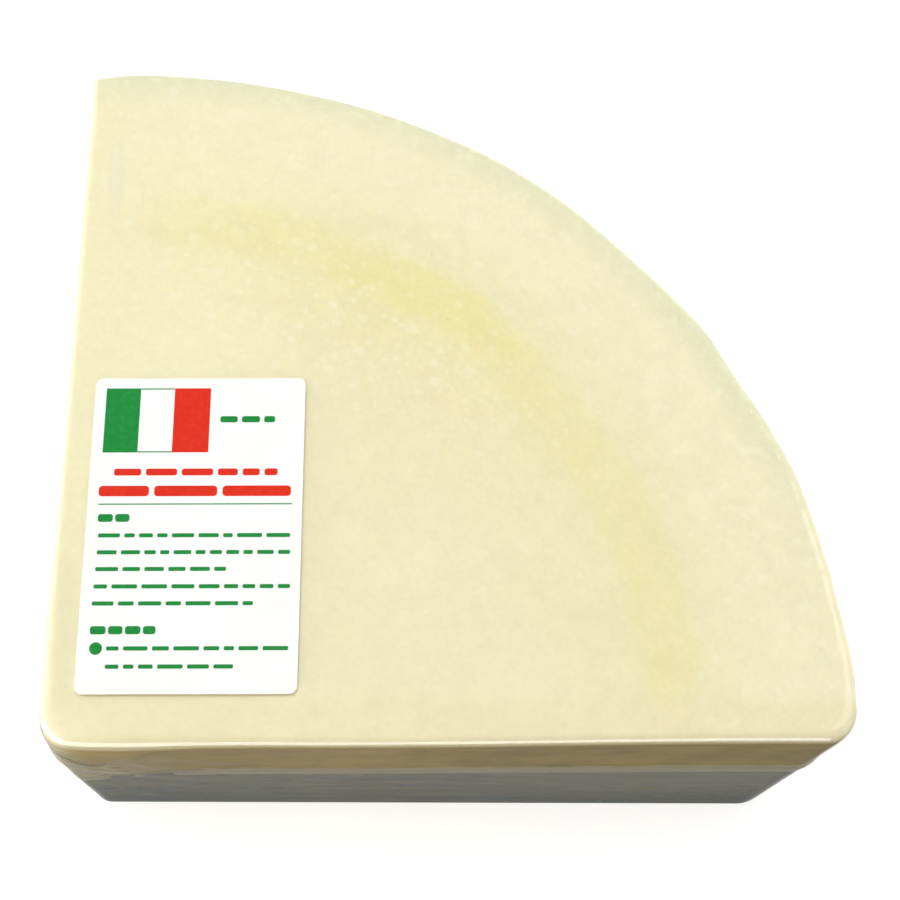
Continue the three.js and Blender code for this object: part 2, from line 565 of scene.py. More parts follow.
@dataclass
class SlabPiece:
    """A closed body on the quarter wheel's plan and section.

    Attributes:
        name: The piece's name.
        plan: The quarter wheel seen from above.
        section: The slab's height profile.
        spacing: Distance between columns of points.
        rows: The rows of points.
        within: How far inside the slab's own surface the body lies.
        step: Height of each ring of faces of the blank that the body is pressed from.
        blank_radius: Radius of that blank.
        fullness: Stretches beside the square corner that stand out at the top: how far, round which
            distance along the outline, and half the width of the stretch.
        middle: The point in plan that the top's inner rows close in on.
        closed_in: How much of the way to it they go.
    """

    name: str
    plan: Plan
    section: Section
    spacing: float
    rows: Rows
    within: float = 0.0
    step: float = field(default=1 * MM, init=False)
    blank_radius: float = field(default=80 * MM, init=False)
    fullness: tuple[tuple[float, float, float], ...] = field(
        default=((0.8 * MM, 12 * MM, 15 * MM), (0.45 * MM, -20 * MM, 15 * MM)), init=False
    )
    middle: tuple[float, float] = field(default=(66 * MM, 58 * MM), init=False)
    closed_in: float = field(default=0.97, init=False)

    def model(self) -> bpy.types.Object:
        """Models the body.

        Returns:
            The body as a closed mesh.
        """
        columns = self.plan.columns(self.spacing)
        piece = self._draw_up(columns.count)
        grid = self.grid(columns)
        moved = grid.point + grid.out * (self.relief(grid) * self._still_middle(grid))[..., None]
        self._press(piece, moved, self.notes(grid))
        return piece

    @staticmethod
    def _still_middle(grid: Grid) -> np.ndarray:
        """Fades the relief out where the top and the underside are closed by one flat face."""
        top = grid.rows_on(Zone.TOP) * smooth((grid.place[:, None] - 0.8) / 0.2)
        under = grid.rows_on(Zone.UNDERSIDE) * (1 - smooth(grid.place[:, None] / 0.5))
        return 1 - top - under

    def _draw_up(self, count: int) -> bpy.types.Object:
        """Draws a round blank up from a disc, one ring of faces for each row."""
        start_fresh()
        bpy.ops.mesh.primitive_circle_add(
            vertices=count, radius=self.blank_radius, fill_type="NGON", location=(0, 0, 0)
        )
        piece = named(self.name)
        bpy.ops.object.mode_set(mode="EDIT")
        bpy.ops.mesh.select_all(action="SELECT")
        for _ in self.rows.listed()[1:]:
            bpy.ops.mesh.extrude_region_move(TRANSFORM_OT_translate={"value": (0, 0, self.step)})
        bpy.ops.mesh.select_all(action="SELECT")
        bpy.ops.mesh.normals_make_consistent(inside=False)
        bpy.ops.object.mode_set(mode="OBJECT")
        return piece

    def _press(self, piece: bpy.types.Object, moved: np.ndarray, notes: dict[str, np.ndarray]) -> None:
        """Presses the round blank into the slab's form, each ring on to its row.

        Args:
            piece: The blank.
            moved: Where each row's and column's point goes.
            notes: Values for the finish to read, by name, for each row and column.
        """
        rows, count = moved.shape[:2]
        co = np.empty(len(piece.data.vertices) * 3)
        piece.data.vertices.foreach_get("co", co)
        co = co.reshape(-1, 3)
        row = np.rint(co[:, 2] / self.step).astype(int)
        turn = np.arctan2(co[:, 0], co[:, 1]) / (2 * math.pi)
        column = np.rint(-turn * count).astype(int) % count
        piece.data.vertices.foreach_set("co", moved[row, column].ravel())
        for name, values in notes.items():
            layer = piece.data.attributes.new(name, "FLOAT", "POINT")
            layer.data.foreach_set("value", values[row, column].astype(np.float32))
        piece.data.update()
        LOG.info("%s: %d rows of %d points", self.name, rows, count)

    def grid(self, columns: Columns) -> Grid:
        """Works out the plain slab's points.

        Args:
            columns: The outline's columns.

        Returns:
            The grid of points, before relief.
        """
        s, thick = self.section, self.section.thick
        listed = self.rows.listed()
        zone = np.array([z.value for z, _ in listed])
        place = np.array([t for _, t in listed])
        t = place[:, None]
        shoulder = s.shoulder(columns)[None, :]
        foot = s.foot + 0 * shoulder
        turn = QUARTER * t
        heights = {
            Zone.UNDERSIDE: 0 * t + 0 * shoulder,
            Zone.FOOT: foot * (1 - np.cos(turn)),
            Zone.SIDE: foot + t * (thick - shoulder - foot),
            Zone.SHOULDER: thick - shoulder * (1 - np.sin(turn)),
            Zone.TOP: thick + 0 * t + 0 * shoulder,
        }
        lift = {Zone.UNDERSIDE: -QUARTER, Zone.FOOT: turn - QUARTER, Zone.SIDE: 0, Zone.SHOULDER: turn, Zone.TOP: QUARTER}
        z = np.zeros((len(listed), columns.count))
        slope = np.zeros_like(z)
        for kind in Zone:
            here = zone == kind.value
            z[here] = heights[kind][here]
            slope[here] = np.broadcast_to(lift[kind], z.shape)[here] if np.ndim(lift[kind]) else lift[kind]
        under = np.where((zone == Zone.UNDERSIDE.value)[:, None], self.rows.under_reach * (1 - t), 0)
        inset, closing = self.rows.over(t)
        on_top = (zone == Zone.TOP.value)[:, None]
        over, closing = np.where(on_top, inset, 0), np.where(on_top, closing, 0)
        down = 1 - z / thick
        both = rounding(z, foot) + under + over + self.within * np.cos(slope)
        cut = s.cut_lean * down + rounding(thick - z, s.cut_rounding(columns)[None, :]) + both
        rind = s.rind_lean * down + rounding(thick - z, s.rind_shoulder) + both
        edge = s.cut_edge(z, self.plan.cut_edge)
        flat, way = self.plan.outline(columns, cut, rind, z / thick, edge)
        middle = np.array(self.plan.place(*self.middle)[:2])
        flat = flat + (middle - flat) * (self.closed_in * closing)[..., None]
        over = over + np.hypot(*(middle - flat).T).T * closing
        point = np.concatenate([flat, (z - self.within * np.sin(slope))[..., None]], -1)
        out = np.concatenate([way * np.cos(slope)[..., None], np.sin(slope)[..., None]], -1)
        return Grid(columns, zone, place, point, out, over)

    def full(self, grid: Grid) -> np.ndarray:
        """How far the stretches beside the square corner stand out."""
        along = grid.columns.along[None, :]
        out = sum(rise * np.exp(-(((along - at) / half) ** 2)) for rise, at, half in self.fullness)
        high = smooth(grid.point[..., 2] / self.section.thick * 2 - 0.8)
        return out * high * np.exp(-((grid.inset / (3 * MM)) ** 2))

    def relief(self, grid: Grid) -> np.ndarray:
        """How far the surface stands out of the plain slab, by row and column."""
        return self.full(grid)

    def notes(self, grid: Grid) -> dict[str, np.ndarray]:
        """Values that the finish reads from the mesh, by name, for each row and column."""
        return {}


@dataclass
class Cheese(SlabPiece):
    """The cheese itself: cut faces that are nearly flat but crumbly, and a rind with the mould's marks.

    Attributes:
        lump_depth: Depth of the broad hollows.
        grain_depth: Depth of the fine grain.
        rind_depth: Depth of the marks on the rind.
    """

    lump_depth: float = 0.07 * MM
    grain_depth: float = 0.04 * MM
    rind_depth: float = 0.09 * MM

    def relief(self, grid: Grid) -> np.ndarray:
        """Hollows and grain, never out past the film."""
        lumps = 0.5 + 0.5 * rough(grid.point, 9 * MM, 3)
        grain = 0.5 + 0.5 * rough(grid.point, 2.4 * MM, 5)
        stretched = grid.point * np.array([1, 1, 4.0])
        marks = (0.5 + 0.5 * rough(stretched, 11 * MM, 8)) * grid.columns.on(Face.RIND)
        return self.full(grid) - self.lump_depth * lumps - self.grain_depth * grain - self.rind_depth * marks


@dataclass(frozen=True)
class Fold:
    """A crease of the film on a side.

    Attributes:
        start: Distance round the outline and height where it starts.
        end: Distance round the outline and height where it ends.
        half: Half width.
        rise: How far it stands out, or in if less than 0.
        milk: How milky the gathered film is along it, or, if less than 0, how much painted shade darkens the gap under
            it.
    """

    start: tuple[float, float]
    end: tuple[float, float]
    half: float
    rise: float
    milk: float = 0.0


@dataclass(frozen=True)
class Crease:
    """A crease of the film on the top.

    Attributes:
        start: Where it starts, in plan.
        end: Where it ends, in plan.
        half: Half width.
        rise: How far it stands up, or sinks if less than 0.
        milk: How milky the film is along it.
    """

    start: tuple[float, float]
    end: tuple[float, float]
    half: float
    rise: float
    milk: float = 0.0


@dataclass(frozen=True)
class Pocket:
    """The loose pocket that the film makes under the top edge at the square corner.

    Attributes:
        middle: Distance round the outline of its middle.
        half: Half width.
        depth: How far below the top it reaches at its middle.
        lip: How far below the top it reaches where it has died out.
        rise: How far it stands out.
        edge: Distance over which its lower edge falls back.
        lit_veil: How milky the loose film under it is, with painted light where that loose film catches the light.
        lit_veil_reach: How far along the front face the milky film reaches.
    """

    middle: float = 8 * MM
    half: float = 8 * MM
    depth: float = 14 * MM
    lip: float = 2.4 * MM
    rise: float = 0.22 * MM
    edge: float = 2.0 * MM
    lit_veil: float = 0.7
    lit_veil_reach: float = 32 * MM

    def above(self, along: np.ndarray, down: np.ndarray) -> np.ndarray:
        """How far points lie above the pocket's lower edge, less than 0 below it."""
        return self.lip + self.depth * np.exp(-(((along - self.middle) / self.half) ** 2)) - down


@dataclass
class Film(SlabPiece):
    """The clear film drawn tight over the cheese, as one closed skin.

    Attributes:
        label_box: The label's lowest and highest corners, which the film is glued up to.
        label_gap: How far the film rises to the label.
        label_margin: How far inside the label's edges that rise starts.
        weld: The line on which the upper and the lower film are welded together.
        weld_half: Half the height of the welded strip.
        pleat_count: Pleats over the rind's top edge.
        pleat_rise: How far a pleat stands out.
        pocket: The loose pocket at the square corner.
        folds: Creases on the sides, gathered at the upright edges.
        creases: Creases on the top.
    """

    label_box: tuple[Vector, Vector] = (Vector(), Vector())
    label_gap: float = 0.27 * MM
    label_margin: float = 3.2 * MM
    weld: WeldLine = WeldLine()
    weld_half: float = 3.2 * MM
    pleat_count: int = 34
    pleat_rise: float = 0.14 * MM
    pocket: Pocket = Pocket()
    folds: tuple[Fold, ...] = (
        Fold((3.2 * MM, 52 * MM), (5.6 * MM, 41 * MM), 0.9 * MM, 0.14 * MM, 0.3),
        Fold((5.0 * MM, 48.5 * MM), (12.5 * MM, 43 * MM), 1.1 * MM, 0.2 * MM, 0.2),
        Fold((15.5 * MM, 53 * MM), (20.5 * MM, 43 * MM), 1.0 * MM, 0.12 * MM, 0.16),
        Fold((2.0 * MM, 43 * MM), (14 * MM, 39 * MM), 1.3 * MM, 0.2 * MM, 0.2),
        Fold((22 * MM, 57 * MM), (36 * MM, 47 * MM), 1.8 * MM, 0.08 * MM, 0.09),
        Fold((38 * MM, 53 * MM), (46 * MM, 47 * MM), 1.5 * MM, 0.06 * MM, 0.1),
        Fold((31 * MM, 46 * MM), (42 * MM, 50 * MM), 1.3 * MM, 0.06 * MM, 0.08),
        Fold((40 * MM, 58.8 * MM), (52 * MM, 60 * MM), 0.9 * MM, 0.05 * MM, 0.2),
        Fold((-3.0 * MM, 59 * MM), (-14 * MM, 46 * MM), 1.3 * MM, 0.08 * MM, 0.15),
        Fold((-5.0 * MM, 60 * MM), (-27 * MM, 50 * MM), 1.4 * MM, 0.08 * MM, 0.12),
        Fold((141 * MM, 50 * MM), (158 * MM, 58 * MM), 1.3 * MM, 0.06 * MM, 0.08),
        Fold((4.0 * MM, 30 * MM), (16 * MM, 10 * MM), 1.6 * MM, 0.08 * MM),
        Fold((8.0 * MM, 31 * MM), (40 * MM, 18 * MM), 1.8 * MM, 0.06 * MM),
        Fold((60 * MM, 30 * MM), (110 * MM, 26 * MM), 2.0 * MM, 0.06 * MM),
    )
    creases: tuple[Crease, ...] = (
        Crease((6.6 * MM, 137.5 * MM), (8.0 * MM, 116 * MM), 1.2 * MM, 0.03 * MM, 0.2),
        Crease((8.8 * MM, 137.5 * MM), (10.4 * MM, 114 * MM), 1.3 * MM, -0.03 * MM),
    )

    def relief(self, grid: Grid) -> np.ndarray:
        """Ripples, pleats, creases, puckers at the weld, and the rise to the label."""
        out = self._ripples(grid) + self._pleats(grid) + self._folds(grid, "rise") + self._puckers(grid)
        out = out + self._creases(grid, "rise") + self._label_rise(grid) + self._pocket(grid) + self.full(grid)
        low = grid.rows_on(Zone.UNDERSIDE, Zone.FOOT)
        return np.where(low, -0.15 * MM * (0.5 + 0.5 * rough(grid.point, 7 * MM, 21)) * (grid.place[:, None] > 0), out)

    def _ripples(self, grid: Grid) -> np.ndarray:
        """Slow waves of the sides and a faint unevenness of the shoulders."""
        wide = rough(grid.point * np.array([1, 1, 0.6]), 19 * MM, 31) * 0.07 * MM
        fine = rough(grid.point, 6 * MM, 32) * 0.03 * MM
        sides = grid.rows_on(Zone.SIDE)
        shoulders = grid.rows_on(Zone.SHOULDER)
        edges = np.sin(math.pi * np.clip(grid.place, 0, 1))[:, None] ** 0.5
        return np.where(sides, (wide + fine) * edges, 0) + np.where(shoulders, 0.4 * fine, 0)

    def _pleats(self, grid: Grid) -> np.ndarray:
        """Narrow pleats where the flat film gathers round the curved rind."""
        draw = Random(7)
        on_rind = grid.columns.on(Face.RIND)
        low, high = grid.columns.along[on_rind].min(), grid.columns.along[on_rind].max()
        along = grid.columns.along[None, :]
        z = grid.point[..., 2]
        out = np.zeros(z.shape)
        for k in range(self.pleat_count):
            at = low + (high - low) * (k + draw.uniform(0.1, 0.9)) / self.pleat_count
            half = draw.uniform(0.7, 1.6) * MM
            reach = draw.uniform(8, 24) * MM
            inward = draw.uniform(1.0, 5.5) * MM
            rise = self.pleat_rise * draw.uniform(0.4, 1.0)
            wander = draw.uniform(-0.12, 0.12)
            across = along - at - wander * (self.section.thick - z)
            upright = np.clip(1 - (self.section.thick - z) / reach, 0, 1)
            over = np.exp(-((grid.inset / inward) ** 2))
            out += rise * np.exp(-((across / half) ** 2)) * upright * over
        return out

    def _folds(self, grid: Grid, value: str) -> np.ndarray:
        """The named folds, on the sides and the shoulders.

        Args:
            grid: The film's points.
            value: The fold's value that is laid along it.

        Returns:
            That value over the grid.
        """
        along = np.broadcast_to(grid.columns.along, grid.point.shape[:2])
        z = grid.point[..., 2]
        out = sum(getattr(f, value) * ridge(along, z, f.start, f.end, f.half) for f in self.folds)
        return np.where(grid.rows_on(Zone.SIDE, Zone.SHOULDER), out, 0)

    def _puckers(self, grid: Grid) -> np.ndarray:
        """Short upright gathers just above and below the weld strip."""
        z = grid.point[..., 2]
        along = np.broadcast_to(grid.columns.along, z.shape)
        beyond = np.clip(np.abs(z - self.weld.at(along)) - self.weld_half, 0, None)
        place = np.stack([grid.point[..., 0], grid.point[..., 1], z * 0.25], -1)
        waves = rough(place, 2.2 * MM, 41) * 0.5 + rough(place, 5 * MM, 42) * 0.5
        return np.where(grid.rows_on(Zone.SIDE), 0.14 * MM * waves * np.exp(-beyond / (2.2 * MM)), 0)

    def _creases(self, grid: Grid, value: str) -> np.ndarray:
        """The named creases, on the top and over its edge.

        Args:
            grid: The film's points.
            value: The crease's value that is laid along it.

        Returns:
            That value over the grid.
        """
        x = grid.point[..., 0] - self.plan.corner.x
        y = grid.point[..., 1] - self.plan.corner.y
        out = sum(getattr(c, value) * ridge(x, y, c.start, c.end, c.half) for c in self.creases)
        return np.where(grid.rows_on(Zone.TOP, Zone.SHOULDER), out, 0)

    def _pocket(self, grid: Grid) -> np.ndarray:
        """The loose pocket at the square corner."""
        down = self.section.thick - grid.point[..., 2]
        above = self.pocket.above(grid.columns.along[None, :], down)
        start = smooth((down - self.pocket.lip) / (3 * MM))
        return np.where(grid.rows_on(Zone.SIDE), self.pocket.rise * start * smooth(above / self.pocket.edge), 0)

    def notes(self, grid: Grid) -> dict[str, np.ndarray]:
        """Height over the weld line, and how milky the film is, with painted light on the loose film under the corner
        pocket, less than 0 where painted shade darkens the gap under a fold.
        """
        z = grid.point[..., 2]
        along = np.broadcast_to(grid.columns.along, z.shape)
        above = self.pocket.above(along, self.section.thick - z)
        near = (1 - smooth(along / self.pocket.lit_veil_reach)) * smooth((along + 16 * MM) / (14 * MM))
        sides = grid.rows_on(Zone.SIDE)
        over = z - self.weld.at(along)
        # partly painted light: the loose film under the pocket milky and brighter
        lit_veil = self.pocket.lit_veil * near * smooth(-above / (1.5 * MM)) * smooth(over / (3 * MM)) * sides
        # painted shade: a dark line in the gap under the pocket's lower edge
        gap = -0.9 * near * np.exp(-(((above + 0.4 * MM) / (1.3 * MM)) ** 2)) * sides
        milk = lit_veil + gap + self._folds(grid, "milk") + self._creases(grid, "milk")
        return {"over_weld": over, "milk": milk}

    def _label_rise(self, grid: Grid) -> np.ndarray:
        """The film's rise to the label that is glued on it, hidden under the label."""
        low, high = self.label_box
        x, y = grid.point[..., 0], grid.point[..., 1]
        edge = self.label_margin
        inside = (x > low.x + edge) & (x < high.x - edge) & (y > low.y + edge) & (y < high.y - edge)
        return np.where(grid.rows_on(Zone.TOP) & inside, self.label_gap, 0)


@dataclass
class WeldBand:
    """The strip round the sides where the upper and the lower film are welded together.

    Attributes:
        plan: The quarter wheel seen from above.
        section: The slab's height profile.
        line: The line that the strip follows.
        half: Half its height.
        out: How far it stands off the sides.
        corner_out: How far more it does so at the upright edge of the front face and the rind.
        buried: How far its back lies inside the film's surface.
        spacing: Distance between its points round the slab.
        sides: Points round its own section.
        squareness: Power that squares its round section, 1 for none.
        blank_radius: Radius of the ring that it is pressed from.
    """

    plan: Plan
    section: Section
    line: WeldLine
    half: float = 3.2 * MM
    out: float = 0.13 * MM
    corner_out: float = 0.15 * MM
    buried: float = 0.25 * MM
    spacing: float = 0.8 * MM
    sides: int = 16
    squareness: float = 1.0
    blank_radius: float = 60 * MM

    def model(self) -> bpy.types.Object:
        """Models the strip: a ring of small section, pressed flat on to the slab's sides.

        Returns:
            The strip as a closed mesh.
        """
        columns = self.plan.columns(self.spacing)
        start_fresh()
        bpy.ops.mesh.primitive_torus_add(
            major_segments=columns.count,
            minor_segments=self.sides,
            major_radius=self.blank_radius,
            minor_radius=self.half,
        )
        piece = named("film_weld")
        co = np.empty(len(piece.data.vertices) * 3)
        piece.data.vertices.foreach_get("co", co)
        co = co.reshape(-1, 3)
        column = self._counted(co[:, 1], co[:, 0], columns.count)
        side = self._counted(co[:, 2], np.hypot(co[:, 0], co[:, 1]) - self.blank_radius, self.sides)
        piece.data.vertices.foreach_set("co", self._ring(columns)[side, column].ravel())
        piece.data.update()
        bpy.ops.object.mode_set(mode="EDIT")
        bpy.ops.mesh.select_all(action="SELECT")
        bpy.ops.mesh.normals_make_consistent(inside=False)
        bpy.ops.object.mode_set(mode="OBJECT")
        return piece

    @staticmethod
    def _counted(up: np.ndarray, across: np.ndarray, count: int) -> np.ndarray:
        """Which of a ring's evenly spaced points each point is, from its two coordinates."""
        return np.rint(np.arctan2(up, across) / (2 * math.pi) * count).astype(int) % count

    def _ring(self, columns: Columns) -> np.ndarray:
        """Points of the strip, by side of its section, column and axis."""
        turn = 2 * math.pi * np.arange(self.sides)[:, None] / self.sides
        tall = np.sign(np.sin(turn)) * np.abs(np.sin(turn)) ** self.squareness
        deep = np.sign(np.cos(turn)) * np.abs(np.cos(turn)) ** self.squareness
        along = np.broadcast_to(columns.along, (self.sides, columns.count))
        line = self._around(columns, self.line.at(along), 0 * along)
        line[..., 2] = 0
        waver = rough(line, 26 * MM, 51) * 0.35 * MM
        fray = rough(line, 3.5 * MM, 52) * 0.18 * MM * np.abs(tall)
        z = self.line.at(along) + tall * (self.half + fray) + waver
        at_edge = np.where(columns.on(Face.FRONT_EDGE), np.sin(math.pi * columns.share), 0)
        swollen = (self.out + self.corner_out * at_edge) * (0.8 + 0.2 * rough(line, 5 * MM, 53))
        return self._around(columns, z, np.where(deep > 0, deep * swollen, deep * self.buried))

    def _around(self, columns: Columns, z: np.ndarray, proud: np.ndarray) -> np.ndarray:
        """Points round the slab's sides at given heights, standing off the sides by given amounts."""
        down = 1 - z / self.section.thick
        cut = self.section.cut_lean * down - proud
        rind = self.section.rind_lean * down - proud
        edge = self.section.cut_edge(z, self.plan.cut_edge)
        flat, _ = self.plan.outline(columns, cut, rind, 1 - down, edge)
        return np.concatenate([flat, z[..., None]], -1)


# ---------------------------------------------------------------- the label's print


@dataclass(frozen=True)
class Bars:
    """A line of print, kept as a row of plain bars.

    Attributes:
        height: The row's middle, up from the label's middle.
        start: Where the row starts, right of the label's middle.
        end: Where the row ends.
        thick: How tall the bars are.
        words: Shortest and longest bar.
        gap: Gap between bars.
    """

    height: float
    start: float
    end: float
    thick: float = 0.85 * MM
    words: tuple[float, float] = (1.8 * MM, 5.2 * MM)
    gap: float = 0.9 * MM

    def spans(self, draw: Random) -> list[tuple[float, float]]:
        """Cuts the row into bars.

        Args:
            draw: Where the bars' lengths are drawn from.

        Returns:
            Each bar's start and end.
        """
        spans, at = [], self.start
        while at < self.end - self.words[0] * 0.5:
            stop = min(self.end, at + draw.uniform(*self.words))
            if self.end - stop < self.words[0]:
                stop = self.end
            spans.append((at, stop))
            at = stop + self.gap
        return spans


@dataclass(frozen=True)
class Patch:
    """A plain field of one ink: its left, right, bottom and top, from the label's middle."""

    left: float
    right: float
    bottom: float
    top: float


@dataclass
class LabelPrint:
    """The label's print as fields and bars of ink, one mesh for each ink.

    Attributes:
        name: The piece's name.
        label: The label's lowest and highest corners.
        rows: The rows of bars in this ink.
        patches: The plain fields in this ink.
        discs: Middle and radius of each round mark.
        turn: How far the label is turned, in degrees.
        thick: Thickness of the ink, half of it pressed into the paper.
        corner: Rounding of a bar's corners, as a share of its height.
        seed: Picks the lengths of the bars.
    """

    name: str
    label: tuple[Vector, Vector]
    rows: tuple[Bars, ...]
    patches: tuple[Patch, ...]
    discs: tuple[tuple[float, float, float], ...] = ()
    turn: float = 0.35
    thick: float = 0.08 * MM
    corner: float = 0.32
    seed: int = 1

    def model(self) -> bpy.types.Object:
        """Models all of this ink's print.

        Returns:
            The print as one mesh of closed flat bodies.
        """
        draw = Random(self.seed)
        bar = self._bar()
        pieces = []
        for patch in self.patches:
            pieces.append(self._stretched(bar, patch, 0.12 * MM))
        for row in self.rows:
            for start, end in row.spans(draw):
                patch = Patch(start, end, row.height - row.thick / 2, row.height + row.thick / 2)
                pieces.append(self._stretched(bar, patch, row.thick * self.corner))
        pieces += [self._disc(*disc) for disc in self.discs]
        bpy.data.objects.remove(bar)
        return self._joined(pieces)

    def _bar(self) -> bpy.types.Object:
        """One bar, 1 m by 1 m by the ink's thickness, its upright edges rounded by a tenth."""
        start_fresh()
        bpy.ops.mesh.primitive_cube_add(size=1)
        bar = named("ink_bar")
        bpy.ops.object.mode_set(mode="EDIT")
        bpy.ops.mesh.select_all(action="DESELECT")
        bpy.ops.mesh.select_mode(type="EDGE")
        bpy.ops.object.mode_set(mode="OBJECT")
        for edge in bar.data.edges:
            a, b = (bar.data.vertices[i].co for i in edge.vertices)
            edge.select = abs(a.z - b.z) > 0.5
        bpy.ops.object.mode_set(mode="EDIT")
        bpy.ops.mesh.bevel(offset=0.1, segments=4, affect="EDGES")
        bpy.ops.mesh.select_all(action="SELECT")
        bpy.ops.transform.resize(value=(1, 1, self.thick))
        bpy.ops.object.mode_set(mode="OBJECT")
        return bar

    def _stretched(self, bar: bpy.types.Object, patch: Patch, corner: float) -> bpy.types.Object:
        """A copy of the bar, stretched over a patch with its corners kept round.

        Args:
            bar: The bar to copy.
            patch: The patch to cover.
            corner: Radius of its corners.

        Returns:
            The copy, in the label's own coordinates.
        """
        copy = bar.copy()
        copy.data = bar.data.copy()
        bpy.context.collection.objects.link(copy)
        half = Vector(((patch.right - patch.left) / 2, (patch.top - patch.bottom) / 2))
        middle = Vector(((patch.right + patch.left) / 2, (patch.top + patch.bottom) / 2))
        for vertex in copy.data.vertices:
            for axis in range(2):
                side = math.copysign(1, vertex.co[axis])
                inner = 0.5 - abs(vertex.co[axis])
                vertex.co[axis] = middle[axis] + side * (half[axis] - inner / 0.1 * corner)
        return copy

    def _disc(self, x: float, y: float, radius: float) -> bpy.types.Object:
        """A round mark."""
        start_fresh()
        bpy.ops.mesh.primitive_cylinder_add(vertices=36, radius=radius, depth=self.thick, location=(x, y, 0))
        disc = named("ink_disc")
        bpy.ops.object.transform_apply(location=True, rotation=False, scale=False)
        return disc

    def _joined(self, pieces: list[bpy.types.Object]) -> bpy.types.Object:
        """Joins the marks, turns them with the label and lays them on its face."""
        start_fresh()
        for piece in pieces:
            piece.select_set(True)
        bpy.context.view_layer.objects.active = pieces[0]
        bpy.ops.object.join()
        joined = named(self.name)
        low, high = self.label
        middle = (low + high) / 2
        joined.matrix_world = Matrix.Translation((middle.x, middle.y, high.z)) @ Matrix.Rotation(
            math.radians(self.turn), 4, "Z"
        )
        return joined


# ---------------------------------------------------------------- finishes


class Graph:
    """A material's node tree, written as calls that return sockets."""

    def __init__(self, name: str) -> None:
        """Starts an empty material.

        Args:
            name: The material's name.
        """
        self.material = bpy.data.materials.new(name)
        self.material.use_nodes = True
        self.tree = self.material.node_tree
        self.tree.nodes.clear()
        self.output = self.tree.nodes.new("ShaderNodeOutputMaterial")
        self.coordinates = self.tree.nodes.new("ShaderNodeTexCoord").outputs["Object"]

    def add(self, kind: str, settings: dict | None = None, **inputs) -> bpy.types.Node:
        """Adds a node.

        Args:
            kind: The node's type, without "ShaderNode".
            settings: The node's own properties.
            **inputs: Its inputs by name, with _ for a space: a value, or a socket to link.

        Returns:
            The node.
        """
        node = self.tree.nodes.new("ShaderNode" + kind)
        for key, value in (settings or {}).items():
            setattr(node, key, value)
        for key, value in inputs.items():
            self.feed(node.inputs[key.replace("_", " ")], value)
        return node

    def feed(self, socket: bpy.types.NodeSocket, value) -> None:
        """Links a socket into an input, or sets the input's value."""
        if isinstance(value, bpy.types.NodeSocket):
            self.tree.links.new(value, socket)
        elif isinstance(value, tuple) and len(value) == 3 and socket.type == "RGBA":
            socket.default_value = (*value, 1)
        else:
            socket.default_value = value

    def math(self, operation: str, first, second=0.0, third=0.0) -> bpy.types.NodeSocket:
        """A maths node's result."""
        node = self.add("Math", {"operation": operation})
        for socket, value in zip(node.inputs, (first, second, third)):
            self.feed(socket, value)
        return node.outputs[0]

    def step(self, value, low: float, high: float, start: float = 0.0, end: float = 1.0) -> bpy.types.NodeSocket:
        """A smooth step from start to end as value goes from low to high."""
        settings = {"interpolation_type": "SMOOTHSTEP"}
        node = self.add(
            "MapRange", settings, Value=value, From_Min=low, From_Max=high, To_Min=start, To_Max=end
        )
        return node.outputs[0]

    def mix(self, share, first, second, blend: str = "MIX") -> bpy.types.NodeSocket:
        """A mix of two colours."""
        node = self.add("Mix", {"data_type": "RGBA", "blend_type": blend})
        for socket, value in zip((node.inputs[0], node.inputs[6], node.inputs[7]), (share, first, second)):
            self.feed(socket, value)
        return node.outputs[2]

    def noise(self, size: float, detail: float = 2.0, rough_by: float = 0.5, vector=None) -> bpy.types.NodeSocket:
        """Noise from 0 to 1 with lumps of a given size."""
        node = self.add(
            "TexNoise", Vector=vector or self.coordinates, Scale=1 / size, Detail=detail, Roughness=rough_by
        )
        return node.outputs[0]

    def moved(self, shift: Vector, scale: tuple[float, float, float] = (1, 1, 1)) -> bpy.types.NodeSocket:
        """Object coordinates less a shift, then scaled."""
        less = self.add("VectorMath", {"operation": "SUBTRACT"})
        self.feed(less.inputs[0], self.coordinates)
        less.inputs[1].default_value = shift
        times = self.add("VectorMath", {"operation": "MULTIPLY"})
        self.feed(times.inputs[0], less.outputs[0])
        times.inputs[1].default_value = scale
        return times.outputs[0]

    def split(self, vector: bpy.types.NodeSocket) -> list[bpy.types.NodeSocket]:
        """The three parts of a vector."""
        return list(self.add("SeparateXYZ", Vector=vector).outputs)

    def mix_value(self, share, first, second) -> bpy.types.NodeSocket:
        """A mix of two numbers."""
        node = self.add("Mix", {"data_type": "FLOAT"})
        for socket, value in zip((node.inputs[0], node.inputs[2], node.inputs[3]), (share, first, second)):
            self.feed(socket, value)
        return node.outputs[0]

    def blend(self, share, first: bpy.types.Node, second: bpy.types.Node) -> bpy.types.Node:
        """A Mix Shader of two shader nodes."""
        mixed = self.add("MixShader")
        for socket, value in zip(mixed.inputs, (share, first.outputs[0], second.outputs[0])):
            self.feed(socket, value)
        return mixed

    def note(self, name: str) -> bpy.types.NodeSocket:
        """A value noted on the mesh."""
        return self.add("Attribute", {"attribute_name": name}).outputs["Fac"]

    def bell(self, value, middle: float, half: float) -> bpy.types.NodeSocket:
        """A bell curve: 1 at the middle, falling off over the half width."""
        off = self.math("DIVIDE", self.math("SUBTRACT", value, middle), half)
        square = self.math("MULTIPLY", off, off)
        return self.math("EXPONENT", self.math("MULTIPLY", square, -1.0))

    def show(self, shader: bpy.types.Node) -> bpy.types.Material:
        """Puts a shader on the surface and gives the finished material."""
        self.tree.links.new(shader.outputs[0], self.output.inputs["Surface"])
        return self.material


